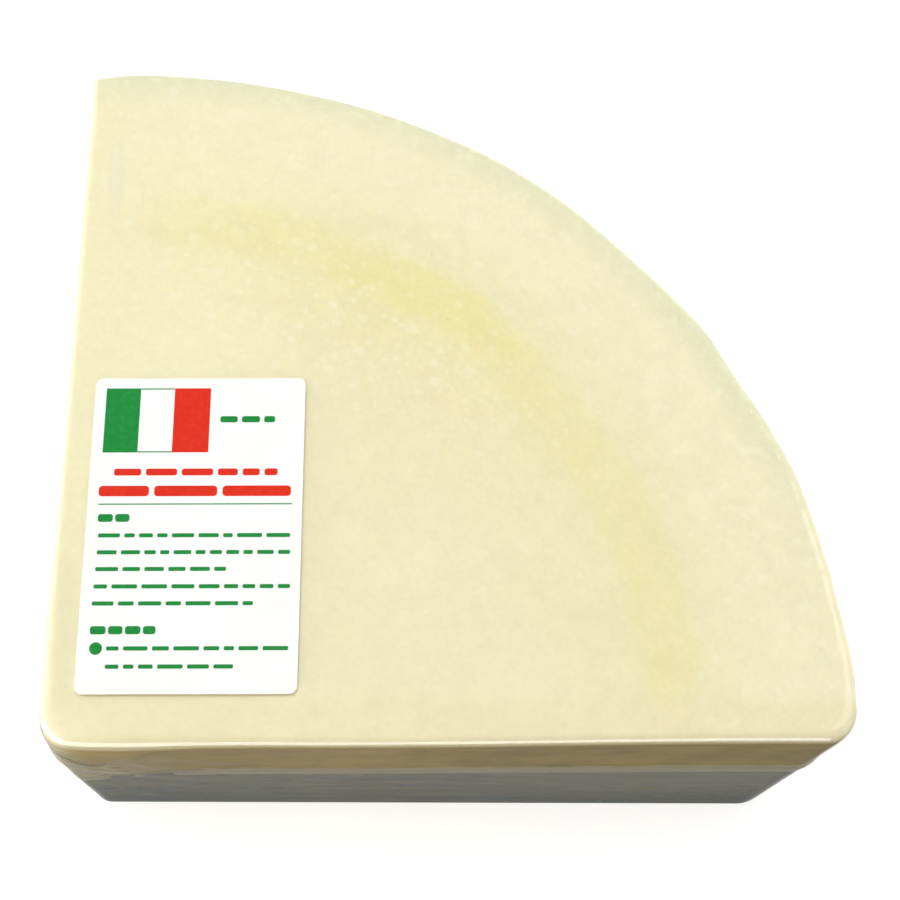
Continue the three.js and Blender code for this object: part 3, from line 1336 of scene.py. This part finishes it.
@dataclass(frozen=True)
class PastePattern:
    """Finish of the cheese: ivory paste with a straw ring inside the rind, pale flecks, painted shade in pits and on
    the cut faces, and painted light on the top's left part.

    Attributes:
        hub: The wheel's centre.
        corner: The square cut corner.
        top: Height of the top face.
        rind_lean: How far the rind leans in by the bottom.
        paste: Colour of the paste at the heart of the wheel.
        pale_paste: Its colour in paler patches.
        warm_paste: Its colour just inside the ring.
        lit_left_paste: Its colour in the left part, paler and brighter: painted light from the left.
        outer_paste: Its colour outside the ring.
        straw: Colour of the ring.
        edge_paste: Its colour along the front cut face's top edge.
        left_paste: Its colour along the left cut face's top edge.
        shaded_side_paste: Colour of the cut faces, a deeper straw than the top: painted shade, as they stand in shade.
        shade_brown_paste: Colour of their darker blotches, which paint more of that shade on the front face.
        rind: Colour of the rind.
        fleck: Colour of the flecks.
        pit_shade: Colour of the pits, painted shade of small hollows.
        ring_radius: Radius of the straw ring.
        ring_half: Half width of the straw ring.
    """

    hub: Vector
    corner: Vector
    top: float
    rind_lean: float
    paste: Colour = (0.85, 0.78, 0.508)
    pale_paste: Colour = (0.855, 0.795, 0.525)
    warm_paste: Colour = (0.852, 0.763, 0.455)
    lit_left_paste: Colour = (0.885, 0.84, 0.53)
    outer_paste: Colour = (0.865, 0.812, 0.54)
    straw: Colour = (0.826, 0.746, 0.353)
    edge_paste: Colour = (0.838, 0.76, 0.465)
    left_paste: Colour = (0.85, 0.806, 0.513)
    # painted shade: the cut faces' straw and brown tones stand in for the shade that they stand in
    shaded_side_paste: Colour = (0.84, 0.66, 0.27)
    shade_brown_paste: Colour = (0.60, 0.46, 0.19)
    rind: Colour = (0.775, 0.762, 0.505)
    fleck: Colour = (0.93, 0.90, 0.69)
    pit_shade: Colour = (0.66, 0.57, 0.38)
    ring_radius: float = 111.3 * MM
    ring_half: float = 6.2 * MM

    def material(self) -> bpy.types.Material:
        """Builds the cheese's material."""
        g = Graph("cheese_paste")
        x, y, z = g.split(g.moved(self.hub))
        radius = g.math("SQRT", g.math("ADD", g.math("MULTIPLY", x, x), g.math("MULTIPLY", y, y)))
        angle = g.math("ARCTAN2", y, x)
        cloud = g.noise(15 * MM, 3, 0.6)
        colour = g.mix(g.step(cloud, 0.4, 0.62), self.paste, self.pale_paste)
        inward = g.split(g.moved(self.corner))[0]
        # painted light: the top's left part brighter, where the light falls from the left
        colour = g.mix(g.math("MULTIPLY", g.bell(inward, 27 * MM, 24 * MM), 0.9), colour, self.lit_left_paste)
        colour = g.mix(self._warm(g, radius, angle), colour, self.warm_paste)
        colour = g.mix(g.step(radius, 115 * MM, 134 * MM, 0, 0.9), colour, self.outer_paste)
        colour = g.mix(self._ring(g, radius, angle), colour, self.straw)
        colour = g.mix(self._edge(g, 1, cloud, 7 * MM, 11.5 * MM), colour, self.edge_paste)
        colour = g.mix(self._edge(g, 0, cloud, 4 * MM, 22 * MM), colour, self.left_paste)
        at_back = g.step(angle, math.radians(8), math.radians(30), 0.1, 1.0)
        colour = g.mix(g.math("MULTIPLY", g.step(radius, 140 * MM, 148 * MM), at_back), colour, self.rind)
        colour = self._mottled(g, colour)
        colour = g.mix(self._flecks(g, radius, angle), colour, self.fleck)
        colour = self._shaded_sides(g, colour, z, radius)
        # painted shade in small pits
        colour = g.mix(self._pit_shades(g), colour, self.pit_shade)
        shader = g.add("BsdfPrincipled", {"subsurface_method": "BURLEY"}, Base_Color=colour, Roughness=0.62)
        shader.inputs["Specular IOR Level"].default_value = 0.12
        shader.inputs["Subsurface Weight"].default_value = 0.2
        shader.inputs["Subsurface Radius"].default_value = (1.0, 0.72, 0.38)
        shader.inputs["Subsurface Scale"].default_value = 6 * MM
        grain = g.math("ADD", g.math("MULTIPLY", g.noise(1.3 * MM, 1), 0.5), g.noise(5 * MM, 1))
        bump = g.add("Bump", Strength=0.25, Distance=0.25 * MM, Height=grain)
        g.feed(shader.inputs["Normal"], bump.outputs[0])
        return g.show(shader)

    def _warm(self, g: Graph, radius, angle) -> bpy.types.NodeSocket:
        """The warmer zone just inside the ring, patchy, and gone by the front face."""
        patchy = g.step(g.noise(21 * MM, 3), 0.3, 0.7, 0.35, 1.0)
        where = g.math("MULTIPLY", g.bell(radius, 96 * MM, 17 * MM), g.bell(angle, math.radians(58), math.radians(30)))
        return g.math("MULTIPLY", where, patchy)

    def _ring(self, g: Graph, radius, angle) -> bpy.types.NodeSocket:
        """The straw ring: a patchy core, strongest over the middle of the quarter, with wide soft edges."""
        waver = g.math("MULTIPLY", g.math("SUBTRACT", g.noise(38 * MM, 3), 0.5), 13 * MM)
        off = g.math("DIVIDE", g.math("SUBTRACT", g.math("ADD", radius, waver), self.ring_radius), self.ring_half)
        square = g.math("MULTIPLY", off, off)
        core = g.math("EXPONENT", g.math("MULTIPLY", g.math("MULTIPLY", square, square), -0.6))
        patchy = g.step(g.noise(13 * MM, 3), 0.28, 0.66, 0.66, 1.0)
        skirt = g.math("MULTIPLY", g.bell(radius, self.ring_radius - 1 * MM, 15 * MM), 0.45)
        ring = g.math("MAXIMUM", g.math("MULTIPLY", core, patchy), skirt)
        middle = g.math("MULTIPLY", g.bell(angle, math.radians(56), math.radians(14)), 0.3)
        strength = g.math("MULTIPLY", g.math("ADD", 0.78, middle), g.step(angle, math.radians(90), math.radians(74), 0.6, 1.0))
        return g.math("MULTIPLY", ring, strength)

    def _edge(self, g: Graph, axis: int, cloud, near: float, far: float) -> bpy.types.NodeSocket:
        """How much a point belongs to a cut face's top edge, with a ragged inner limit."""
        inward = g.split(g.moved(self.corner))[axis]
        ragged = g.math("ADD", inward, g.math("MULTIPLY", g.math("SUBTRACT", cloud, 0.5), 5 * MM))
        return g.step(ragged, far, near, 0, 0.8)

    @staticmethod
    def _mottled(g: Graph, colour) -> bpy.types.NodeSocket:
        """The paste's fine uneven grain, as a small change of brightness."""
        blotch = g.step(g.noise(4.5 * MM, 2, 0.6), 0.3, 0.7, 0.982, 1.016)
        grain = g.step(g.noise(0.9 * MM, 1, 0.6), 0.25, 0.75, 0.982, 1.016)
        tone = g.add("CombineXYZ")
        for socket in tone.inputs:
            g.feed(socket, g.math("MULTIPLY", blotch, grain))
        return g.mix(1.0, colour, tone.outputs[0], "MULTIPLY")

    def _shaded_sides(self, g: Graph, colour, z, radius) -> bpy.types.NodeSocket:
        """The colour with painted shade on the cut faces: a deeper straw tone and brown blotches on the front one, a
        dark shade line under its top edge, more shade towards its right end and less near the square corner, and half
        of that straw tone on the left one, below its top edge.
        """
        inward, in_from_front, _ = g.split(g.moved(self.corner))
        down = g.math("SUBTRACT", 1.0, g.math("DIVIDE", z, self.top))
        from_rind = g.math("SUBTRACT", 149.3 * MM, g.math("ADD", radius, g.math("MULTIPLY", down, self.rind_lean)))
        inside = g.step(from_rind, 0.2 * MM, 2.5 * MM)
        below = g.step(z, self.top - 1.4 * MM, self.top - 3.2 * MM)
        front = g.math("MULTIPLY", g.step(in_from_front, 6 * MM, 2.5 * MM), g.step(inward, 2.5 * MM, 9 * MM))
        left = g.step(z, self.top - 5 * MM, self.top - 14 * MM, 0, 0.5)
        blotch = g.step(g.noise(8 * MM, 3, 0.6, g.moved(Vector(), (0.55, 0.55, 1.0))), 0.38, 0.66)
        # painted shade: a dark line just under the front face's top edge
        edge = g.bell(z, self.top - 3.6 * MM, 1.5 * MM)
        dark = g.math("MAXIMUM", blotch, g.math("MULTIPLY", edge, 0.9))
        # painted shade: the front face darker towards its right end
        dark = g.math("MULTIPLY", dark, g.step(inward, 70 * MM, 100 * MM, 0.5, 0.6))
        dark = g.math("ADD", dark, g.step(inward, 70 * MM, 100 * MM, 0.1, 0.4))
        # painted light: less of that shade near the square corner
        dark = g.math("MULTIPLY", dark, g.step(inward, 4 * MM, 24 * MM, 0.3, 1.0))
        cut = g.mix(g.math("MULTIPLY", dark, front), self.shaded_side_paste, self.shade_brown_paste)
        where = g.math("MULTIPLY", g.math("MAXIMUM", front, left), g.math("MULTIPLY", inside, below))
        return g.mix(where, colour, cut)

    def _pit_shades(self, g: Graph) -> bpy.types.NodeSocket:
        """A few small dark pits: painted shade of small hollows."""
        cells = g.add("TexVoronoi", {"feature": "F1"}, Vector=g.coordinates, Scale=1 / (9 * MM))
        return g.step(cells.outputs["Distance"], 0.06, 0.025, 0, 0.45)

    def _flecks(self, g: Graph, radius, angle) -> bpy.types.NodeSocket:
        """Pale flecks drawn out round the wheel, most of them just inside the straw ring."""
        coarse = self._fleck_layer(g, radius, angle, 3.6 * MM, 84 * MM, 0.62)
        fine = self._fleck_layer(g, radius, angle, 2.2 * MM, 90 * MM, 0.6)
        spots = g.math("MAXIMUM", coarse, g.math("MULTIPLY", fine, 0.8))
        inner = g.math("MULTIPLY", g.bell(radius, 99 * MM, 20 * MM), g.bell(angle, math.radians(66), math.radians(34)))
        where = g.math("ADD", 0.2, g.math("MULTIPLY", inner, 0.8))
        clumps = g.step(g.noise(14 * MM, 2), 0.3, 0.55, 0.6, 1.0)
        spots = g.math("MULTIPLY", g.math("MULTIPLY", spots, g.math("MULTIPLY", where, clumps)), 0.43)
        bloom = g.math("MULTIPLY", g.step(g.noise(3.4 * MM, 3, 0.6), 0.52, 0.7), g.step(radius, 112 * MM, 126 * MM, 0.08, 0.34))
        return g.math("MAXIMUM", spots, bloom)

    @staticmethod
    def _fleck_layer(g: Graph, radius, angle, cell: float, arm: float, largest: float) -> bpy.types.NodeSocket:
        """Scattered flecks.

        Args:
            g: The material's graph.
            radius: Distance from the wheel's centre.
            angle: Angle round it.
            cell: Size of the cells that hold one fleck each.
            arm: Radius at which a fleck is as long as it is wide, so that further out it is drawn out.
            largest: Radius of the largest fleck, as a share of its cell.

        Returns:
            1 on a fleck, 0 off it.
        """
        place = g.add("CombineXYZ")
        jitter = g.math("MULTIPLY", g.math("SUBTRACT", g.noise(2.5 * MM, 2), 0.5), 0.9 * MM)
        g.feed(place.inputs[0], g.math("ADD", radius, jitter))
        g.feed(place.inputs[1], g.math("MULTIPLY", angle, arm))
        settings = {"feature": "F1", "voronoi_dimensions": "2D"}
        cells = g.add("TexVoronoi", settings, Vector=place.outputs[0], Scale=1 / cell)
        size = g.split(cells.outputs["Color"])[0]
        reach = g.math("MULTIPLY", g.math("SUBTRACT", size, 0.45), largest)
        return g.step(g.math("SUBTRACT", reach, cells.outputs["Distance"]), -0.1, 0.12)


def clear_gloss(g: Graph, share, cloud_colour, bump, rough_by) -> bpy.types.Node:
    """A clear film with a haze in it and gloss on its outer side.

    Args:
        g: The material's graph.
        share: How much of the haze shows.
        cloud_colour: The haze's colour.
        bump: The film's fine wrinkles, as a normal.
        rough_by: Roughness of the gloss.

    Returns:
        The finished shader.
    """
    body = g.blend(share, g.add("BsdfTransparent"), g.add("BsdfDiffuse", Color=cloud_colour, Normal=bump))
    gloss = g.add("BsdfAnisotropic", Color=(1.0, 1.0, 1.0), Roughness=rough_by, Normal=bump)
    fresnel = g.add("Fresnel", IOR=1.52, Normal=bump).outputs[0]
    outer = g.math("SUBTRACT", 1.0, g.add("NewGeometry").outputs["Backfacing"])
    return g.blend(g.math("MULTIPLY", fresnel, outer), body, gloss)


@dataclass(frozen=True)
class ClearFilm:
    """Finish of the film: clear and glossy above the weld, thicker and hazier below it, where painted shade darkens it
    on the front.

    Attributes:
        haze: Colour of the clear film's faint haze.
        haze_share: How much of that haze shows on the top.
        side_haze: Colour of the darker, patchy haze on the sides.
        side_share: How much of that haze shows at the most.
        milk: Colour of the film where it is gathered, on the top.
        side_milk: Its colour there on the sides, brightened as painted light on the loose film under the corner
            pocket.
        gap: Colour of the dark gaps under its folds: painted shade.
        cloudy_and_shade: Colour of the lower film's haze on the front face, a dark blue-grey: painted shade and a
            painted reflection of dark ground.
        right_cloudy_shade: Its colour on the right half, a lighter painted shade.
        foot_cloudy_shade: Its colour towards the foot, a deeper painted shade.
        cloudy_round: Its colour on the other sides, which stand in full light.
        cloudy_share: How much of that haze shows.
    """

    haze: Colour = (0.93, 0.93, 0.88)
    haze_share: float = 0.03
    side_haze: Colour = (0.40, 0.36, 0.22)
    side_share: float = 0.15
    milk: Colour = (0.93, 0.93, 0.86)
    side_milk: Colour = (0.85, 0.77, 0.57)
    gap: Colour = (0.20, 0.15, 0.05)
    cloudy_and_shade: Colour = (0.36, 0.455, 0.505)
    right_cloudy_shade: Colour = (0.45, 0.53, 0.56)
    foot_cloudy_shade: Colour = (0.24, 0.31, 0.342)
    cloudy_round: Colour = (0.53, 0.525, 0.455)
    cloudy_share: float = 0.65

    def material(self) -> bpy.types.Material:
        """Builds the film's material."""
        g = Graph("clear_film")
        x, y, z = g.split(g.coordinates)
        over_weld = g.note("over_weld")
        milk = g.note("milk")
        side = g.step(over_weld, 22 * MM, 19 * MM)
        lower = g.step(over_weld, 0.6 * MM, -0.6 * MM)
        blotch = g.noise(7 * MM, 2, 0.6, g.moved(Vector(), (0.5, 0.5, 1.0)))
        upper_share = g.mix_value(side, self.haze_share, g.step(blotch, 0.35, 0.68, 0.02, self.side_share))
        streaks = g.noise(9 * MM, 2, 0.6, g.moved(Vector(), (0.22, 0.22, 1.7)))
        lower_share = g.step(streaks, 0.2, 0.8, self.cloudy_share - 0.08, self.cloudy_share + 0.08)
        # painted shade: more haze towards the foot
        lower_share = g.math("ADD", lower_share, g.step(z, 30 * MM, 3 * MM, 0, 0.12))
        share = g.mix_value(lower, upper_share, lower_share)
        # painted shade: the lower film on the front face in dark blue-grey, darker on the left half and towards the
        # foot
        cloudy_and_shade = g.mix(g.step(x, -5 * MM, 20 * MM), self.cloudy_and_shade, self.right_cloudy_shade)
        cloudy_and_shade = g.mix(g.step(z, 30 * MM, 3 * MM), cloudy_and_shade, self.foot_cloudy_shade)
        cloudy_and_shade = g.mix(g.step(y, -71 * MM, -60 * MM), cloudy_and_shade, self.cloudy_round)
        colour = g.mix(side, self.haze, self.side_haze)
        colour = g.mix(lower, colour, cloudy_and_shade)
        pale, dark = g.math("MAXIMUM", milk, 0.0), g.math("MAXIMUM", g.math("MULTIPLY", milk, -1.0), 0.0)
        shade = g.mix(side, self.milk, self.side_milk)
        colour = g.mix(g.step(pale, 0.0, 0.15), colour, shade)
        # painted shade in the gaps under the folds
        colour = g.mix(g.step(dark, 0.0, 0.3), colour, self.gap)
        share = g.math("MINIMUM", g.math("ADD", share, g.math("ADD", pale, dark)), 0.95)
        wrinkles = g.noise(6 * MM, 2)
        bump = g.add("Bump", Strength=0.35, Distance=0.2 * MM, Height=wrinkles).outputs[0]
        rough_by = g.step(blotch, 0.3, 0.7, 0.09, 0.18)
        return g.show(clear_gloss(g, share, colour, bump, rough_by))


@dataclass(frozen=True)
class WeldedFilm:
    """Finish of the weld strip: two films melted into one, paler and less clear.

    Attributes:
        colour: Colour of its haze.
        share: How much of that haze shows.
    """

    colour: Colour = (0.80, 0.72, 0.45)
    share: float = 0.5

    def material(self) -> bpy.types.Material:
        """Builds the strip's material."""
        g = Graph("welded_film")
        stretched = g.noise(7 * MM, 3, 0.5, g.moved(Vector(), (0.3, 0.3, 3.0)))
        share = g.step(stretched, 0.2, 0.8, self.share - 0.14, self.share + 0.12)
        bump = g.add("Bump", Strength=0.3, Distance=0.15 * MM, Height=g.noise(2.2 * MM, 2)).outputs[0]
        return g.show(clear_gloss(g, share, self.colour, bump, 0.32))


@dataclass(frozen=True)
class LabelPaper:
    """Finish of the label: smooth coated white paper.

    Attributes:
        white: Colour of the paper.
        shade: Colour of its faint cloudiness.
    """

    white: Colour = (0.93, 0.93, 0.92)
    shade: Colour = (0.90, 0.90, 0.885)

    def material(self) -> bpy.types.Material:
        """Builds the paper's material."""
        g = Graph("label_paper")
        colour = g.mix(g.step(g.noise(14 * MM, 4), 0.35, 0.7), self.white, self.shade)
        fibres = g.noise(0.7 * MM, 4, 0.6, g.moved(Vector(), (1.0, 0.45, 1.0)))
        bump = g.add("Bump", Strength=0.12, Distance=0.05 * MM, Height=fibres).outputs[0]
        rough_by = g.step(g.noise(5 * MM, 2), 0.3, 0.7, 0.38, 0.48)
        return g.show(g.add("BsdfPrincipled", Base_Color=colour, Roughness=rough_by, Normal=bump))


@dataclass(frozen=True)
class PrintInk:
    """Finish of one printing ink, a little uneven where it soaked in.

    Attributes:
        name: The material's name.
        full: The ink's colour.
        thin: Its colour where it is thin.
    """

    name: str
    full: Colour
    thin: Colour

    def material(self) -> bpy.types.Material:
        """Builds the ink's material."""
        g = Graph(self.name)
        colour = g.mix(g.step(g.noise(1.1 * MM, 3), 0.42, 0.78), self.full, self.thin)
        bump = g.add("Bump", Strength=0.1, Distance=0.03 * MM, Height=g.noise(0.6 * MM, 3)).outputs[0]
        shader = g.add("BsdfPrincipled", Base_Color=colour, Roughness=0.45, Normal=bump)
        shader.inputs["Specular IOR Level"].default_value = 0.25
        return g.show(shader)


GREEN_INK = PrintInk("green_ink", (0.002, 0.235, 0.032), (0.008, 0.27, 0.05))
RED_INK = PrintInk("red_ink", (0.70, 0.016, 0.001), (0.73, 0.03, 0.004))


@dataclass(frozen=True)
class FloorPaint:
    """Finish of the floor: a matt white sheet, lit from below so that shadows on it stay faint.

    Attributes:
        pale: Colour of the sheet.
        shade: Colour of its faint cloudiness.
        glow: Brightness that comes through it.
    """

    pale: Colour = (0.52, 0.52, 0.52)
    shade: Colour = (0.50, 0.50, 0.50)
    glow: float = 0.72

    def material(self) -> bpy.types.Material:
        """Builds the floor's material."""
        g = Graph("pale_floor")
        colour = g.mix(g.noise(0.3, 3), self.pale, self.shade)
        lit = g.add("AddShader")
        g.feed(lit.inputs[0], g.add("BsdfDiffuse", Color=colour).outputs[0])
        g.feed(lit.inputs[1], g.add("Emission", Color=(1.0, 1.0, 1.0), Strength=self.glow).outputs[0])
        return g.show(lit)


# ---------------------------------------------------------------- studio


@dataclass(frozen=True)
class SoftBox:
    """A studio lamp with a large face, aimed at the slab.

    Attributes:
        name: The lamp's name.
        place: Where it stands.
        size: Its width and height.
        watts: Its power.
        aim: What it points at.
        colour: Its colour.
        diffuse: Whether it lights matt surfaces.
        glossy: Whether it shows in gloss.
    """

    name: str
    place: tuple[float, float, float]
    size: tuple[float, float]
    watts: float
    aim: tuple[float, float, float] = (0, 0, 0.04)
    colour: Colour = (1, 1, 1)
    diffuse: bool = True
    glossy: bool = True

    def build(self) -> bpy.types.Object:
        """Sets up the lamp."""
        light = bpy.data.lights.new(self.name, "AREA")
        light.shape = "RECTANGLE"
        light.size, light.size_y = self.size
        light.energy, light.color = self.watts, self.colour
        lamp = bpy.data.objects.new(self.name, light)
        bpy.context.scene.collection.objects.link(lamp)
        lamp.location = self.place
        lamp.rotation_euler = (Vector(self.aim) - Vector(self.place)).to_track_quat("-Z", "Y").to_euler()
        lamp.visible_diffuse, lamp.visible_glossy = self.diffuse, self.glossy
        lamp.visible_camera = False
        return lamp


@dataclass(frozen=True)
class Camera:
    """The camera at the photograph's viewing angle.

    Attributes:
        place: Where it stands.
        tilt: Turn up from looking straight down, in degrees.
        yaw: Turn about the upright, in degrees.
        roll: Turn about its own line of sight, in degrees.
        lens: Focal length in millimetres on a sensor 36 mm wide.
    """

    place: tuple[float, float, float] = (0.158 * MM, -157.78 * MM, 424.2 * MM)
    tilt: float = 21.639
    yaw: float = 0.034
    roll: float = 0.158
    lens: float = 73.92

    def build(self) -> bpy.types.Object:
        """Sets up the camera and makes it the scene's own."""
        data = bpy.data.cameras.new("camera")
        data.lens, data.sensor_width = self.lens, 36
        data.clip_start, data.clip_end = 0.01, 50
        camera = bpy.data.objects.new("camera", data)
        bpy.context.scene.collection.objects.link(camera)
        turned = Euler((math.radians(self.tilt), 0, math.radians(self.yaw))).to_matrix().to_4x4()
        roll = Matrix.Rotation(math.radians(self.roll), 4, "Z")
        camera.matrix_world = Matrix.Translation(self.place) @ turned @ roll
        bpy.context.scene.camera = camera
        return camera


@dataclass(frozen=True)
class Studio:
    """Floor, lamps, sky and camera.

    Attributes:
        floor_size: Width of the floor.
        sky: Brightness that the upper half of the surroundings gives.
        ground: Brightness that the lower half gives in front.
        ground_behind: Brightness that the lower half gives at the back.
        seen: Brightness of the surroundings where the camera sees them.
        lamps: The lamps.
        camera: The camera.
    """

    floor_size: float = 14.0
    sky: float = 0.36
    ground: float = 0.09
    ground_behind: float = 0.85
    seen: float = 1.0
    lamps: tuple[SoftBox, ...] = (
        SoftBox("overhead", (-0.2, 0.4, 1.6), (1.2, 1.2), 15.3, glossy=False),
        SoftBox("left_window", (-0.95, 0.05, 0.42), (0.55, 0.95), 2.3, glossy=False),
        SoftBox("left_low", (-1.05, -0.28, 0.14), (0.7, 0.22), 6.2, glossy=False),
        SoftBox("left_pane", (-0.95, 0.12, 0.36), (0.7, 0.6), 4.0, diffuse=False),
        SoftBox("rind_window", (0.9, 0.9, 0.8), (0.8, 0.8), 3.5, glossy=False),
        SoftBox("right_low", (1.1, 0.12, 0.14), (0.8, 0.22), 5.0, glossy=False),
        SoftBox("front_panel", (-0.225, -1.0, 0.27), (1.45, 0.58), 19, diffuse=False),
        SoftBox("corner_card", (-0.93, -0.52, 0.28), (0.7, 0.6), 11, diffuse=False),
        SoftBox("front_fill", (-0.45, -0.75, 0.3), (0.7, 0.4), 1.25, colour=(1, 0.76, 0.46), glossy=False),
        SoftBox("right_card", (0.62, 0.12, 0.85), (0.6, 0.6), 2.0, diffuse=False),
    )
    camera: Camera = Camera()

    def build(self) -> None:
        """Sets up the studio."""
        self._floor()
        for lamp in self.lamps:
            lamp.build()
        self.camera.build()
        self._world()
        bpy.context.scene.view_settings.view_transform = "Standard"

    def _floor(self) -> None:
        """Lays a wide floor whose own glow stays off the slab."""
        start_fresh()
        bpy.ops.mesh.primitive_plane_add(size=self.floor_size, location=(0, 0, 0))
        floor = named("floor")
        floor.data.materials.append(FloorPaint().material())
        floor.visible_diffuse = floor.visible_glossy = floor.visible_transmission = False
        floor.visible_shadow = False
        floor.select_set(False)

    @staticmethod
    def _ramp(nodes: bpy.types.Nodes, low: float, high: float, start: float, end: float) -> bpy.types.Node:
        """A smooth step from start to end as its value goes from low to high."""
        ramp = nodes.new("ShaderNodeMapRange")
        ramp.interpolation_type = "SMOOTHSTEP"
        for name, value in {"From Min": low, "From Max": high, "To Min": start, "To Max": end}.items():
            ramp.inputs[name].default_value = value
        return ramp

    def _world(self) -> None:
        """Lights the scene all round, and shows a white ground to the camera."""
        world = bpy.data.worlds.new("studio")
        world.use_nodes = True
        bpy.context.scene.world = world
        nodes, links = world.node_tree.nodes, world.node_tree.links
        back = nodes["Background"]
        way = nodes.new("ShaderNodeSeparateXYZ")
        links.new(nodes.new("ShaderNodeTexCoord").outputs["Generated"], way.inputs[0])
        below = self._ramp(nodes, -0.2, 0.3, self.ground, self.ground_behind)
        links.new(way.outputs[1], below.inputs["Value"])
        ramp = self._ramp(nodes, -0.15, 0.25, self.ground, self.sky)
        links.new(way.outputs[2], ramp.inputs["Value"])
        links.new(below.outputs[0], ramp.inputs["To Min"])
        seen = nodes.new("ShaderNodeMix")
        links.new(nodes.new("ShaderNodeLightPath").outputs["Is Camera Ray"], seen.inputs[0])
        links.new(ramp.outputs[0], seen.inputs[2])
        seen.inputs[3].default_value = self.seen
        links.new(seen.outputs[0], back.inputs["Strength"])
        back.inputs["Color"].default_value = (1, 1, 1, 1)


# ---------------------------------------------------------------- the whole


@dataclass
class PecorinoRomano:
    """The slab, its film, its label and the label's print.

    Attributes:
        slab_box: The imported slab's lowest and highest corners.
        label_box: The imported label's lowest and highest corners.
        corner_from_box: The square cut corner's place, from the slab's lowest corner.
        film_gap: Room between the film's plain surface and the cheese's.
    """

    slab_box: tuple[Vector, Vector]
    label_box: tuple[Vector, Vector]
    corner_from_box: float = 0.312 * MM
    film_gap: float = 0.16 * MM

    def build(self) -> list[bpy.types.Object]:
        """Builds every piece.

        Returns:
            The new pieces.
        """
        low, high = self.slab_box
        plan = Plan(Vector((low.x + self.corner_from_box, low.y + self.corner_from_box, 0)))
        section = Section(high.z)
        return [*self._wrapped_cheese(plan, section), *self._label()]

    def _wrapped_cheese(self, plan: Plan, section: Section) -> list[bpy.types.Object]:
        """The cheese, the film and its weld strip."""
        cheese = Cheese("cheese", plan, section, 1.5 * MM, Rows(3, 4, 42, 8, 40, 12), self.film_gap)
        film = Film("film", plan, section, 0.8 * MM, Rows(4, 5, 64, 11, 46, 24), label_box=self.label_box)
        weld = WeldBand(plan, section, film.weld, film.weld_half)
        paste = PastePattern(plan.hub, plan.place(0, 0), section.thick, section.rind_lean)
        replaced = (Node.SLAB,)
        block = finish_piece(cheese.model(), paste.material(), replaced)
        skin = finish_piece(film.model(), ClearFilm().material(), replaced)
        strip = finish_piece(weld.model(), WeldedFilm().material(), replaced)
        skin.visible_diffuse = strip.visible_diffuse = False
        return [block, skin, strip]

    def _label(self) -> list[bpy.types.Object]:
        """The label's paper and its two inks."""
        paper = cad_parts[Node.LABEL.value]
        paper.data.materials.clear()
        paper.data.materials.append(LabelPaper().material())
        green = LabelPrint("label_print_green", self.label_box, self._green_rows(), self._green_patches(),
                           ((-18.4 * MM, -24.9 * MM, 1.3 * MM),), seed=11)
        red = LabelPrint("label_print_red", self.label_box, self._red_rows(), self._red_patches(), seed=12)
        return [
            finish_piece(green.model(), GREEN_INK.material()),
            finish_piece(red.model(), RED_INK.material()),
        ]

    @staticmethod
    def _green_rows() -> tuple[Bars, ...]:
        """Rows of bars in green: a short one by the stripes, two headings and the text."""
        text = (
            (-0.95, -19.5, 19.9),
            (-4.6, -19.5, 20.0),
            (-8.2, -19.6, 7.05),
            (-11.9, -19.7, 20.2),
            (-15.5, -19.8, 12.8),
            (-24.9, -16.3, 20.2),
            (-28.65, -16.3, 9.3),
        )
        headings = ((2.85, -19.8, -13.3), (-21.1, -19.8, -6.6))
        return (
            Bars(24.8 * MM, 4.5 * MM, 16 * MM, 1.4 * MM, (3 * MM, 4.4 * MM)),
            *(Bars(v * MM, u * MM, w * MM, 1.7 * MM, (2.8 * MM, 3.4 * MM), 0.5 * MM) for v, u, w in headings),
            *(Bars(v * MM, u * MM, w * MM) for v, u, w in text),
        )

    @staticmethod
    def _green_patches() -> tuple[Patch, ...]:
        """Fields of green: the first stripe, the line round the white one, and the rule."""
        hair = 0.12 * MM
        left, right, bottom, top = -12.55 * MM, -5.35 * MM, 17.35 * MM, 31.9 * MM
        return (
            Patch(-19.8 * MM, left, bottom, top),
            Patch(left, right, top - 2 * hair, top),
            Patch(left, right, bottom, bottom + 2 * hair),
            Patch(-19.9 * MM, 20.1 * MM, 5.87 * MM - hair, 5.87 * MM + hair),
        )

    @staticmethod
    def _red_rows() -> tuple[Bars, ...]:
        """Two rows of bars in red, the lower one bold."""
        return (
            Bars(12.95 * MM, -17.1 * MM, 16.9 * MM, 1.5 * MM, (3.5 * MM, 8 * MM), 1.0 * MM),
            Bars(8.75 * MM, -20 * MM, 19.8 * MM, 2.3 * MM, (9 * MM, 14 * MM), 1.1 * MM),
        )

    @staticmethod
    def _red_patches() -> tuple[Patch, ...]:
        """The third stripe."""
        return (Patch(-5.35 * MM, 2.25 * MM, 17.35 * MM, 31.9 * MM),)


def main() -> None:
    """Builds the studio and the part from both imported boxes, and logs the pieces' names."""
    logging.basicConfig(level=logging.INFO, format="%(name)s %(message)s")
    Studio().build()
    pieces = PecorinoRomano(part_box(Node.SLAB.value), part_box(Node.LABEL.value)).build()
    LOG.info("pieces: %s", ", ".join(piece.name for piece in pieces))


if __name__ == "__main__":
    main()
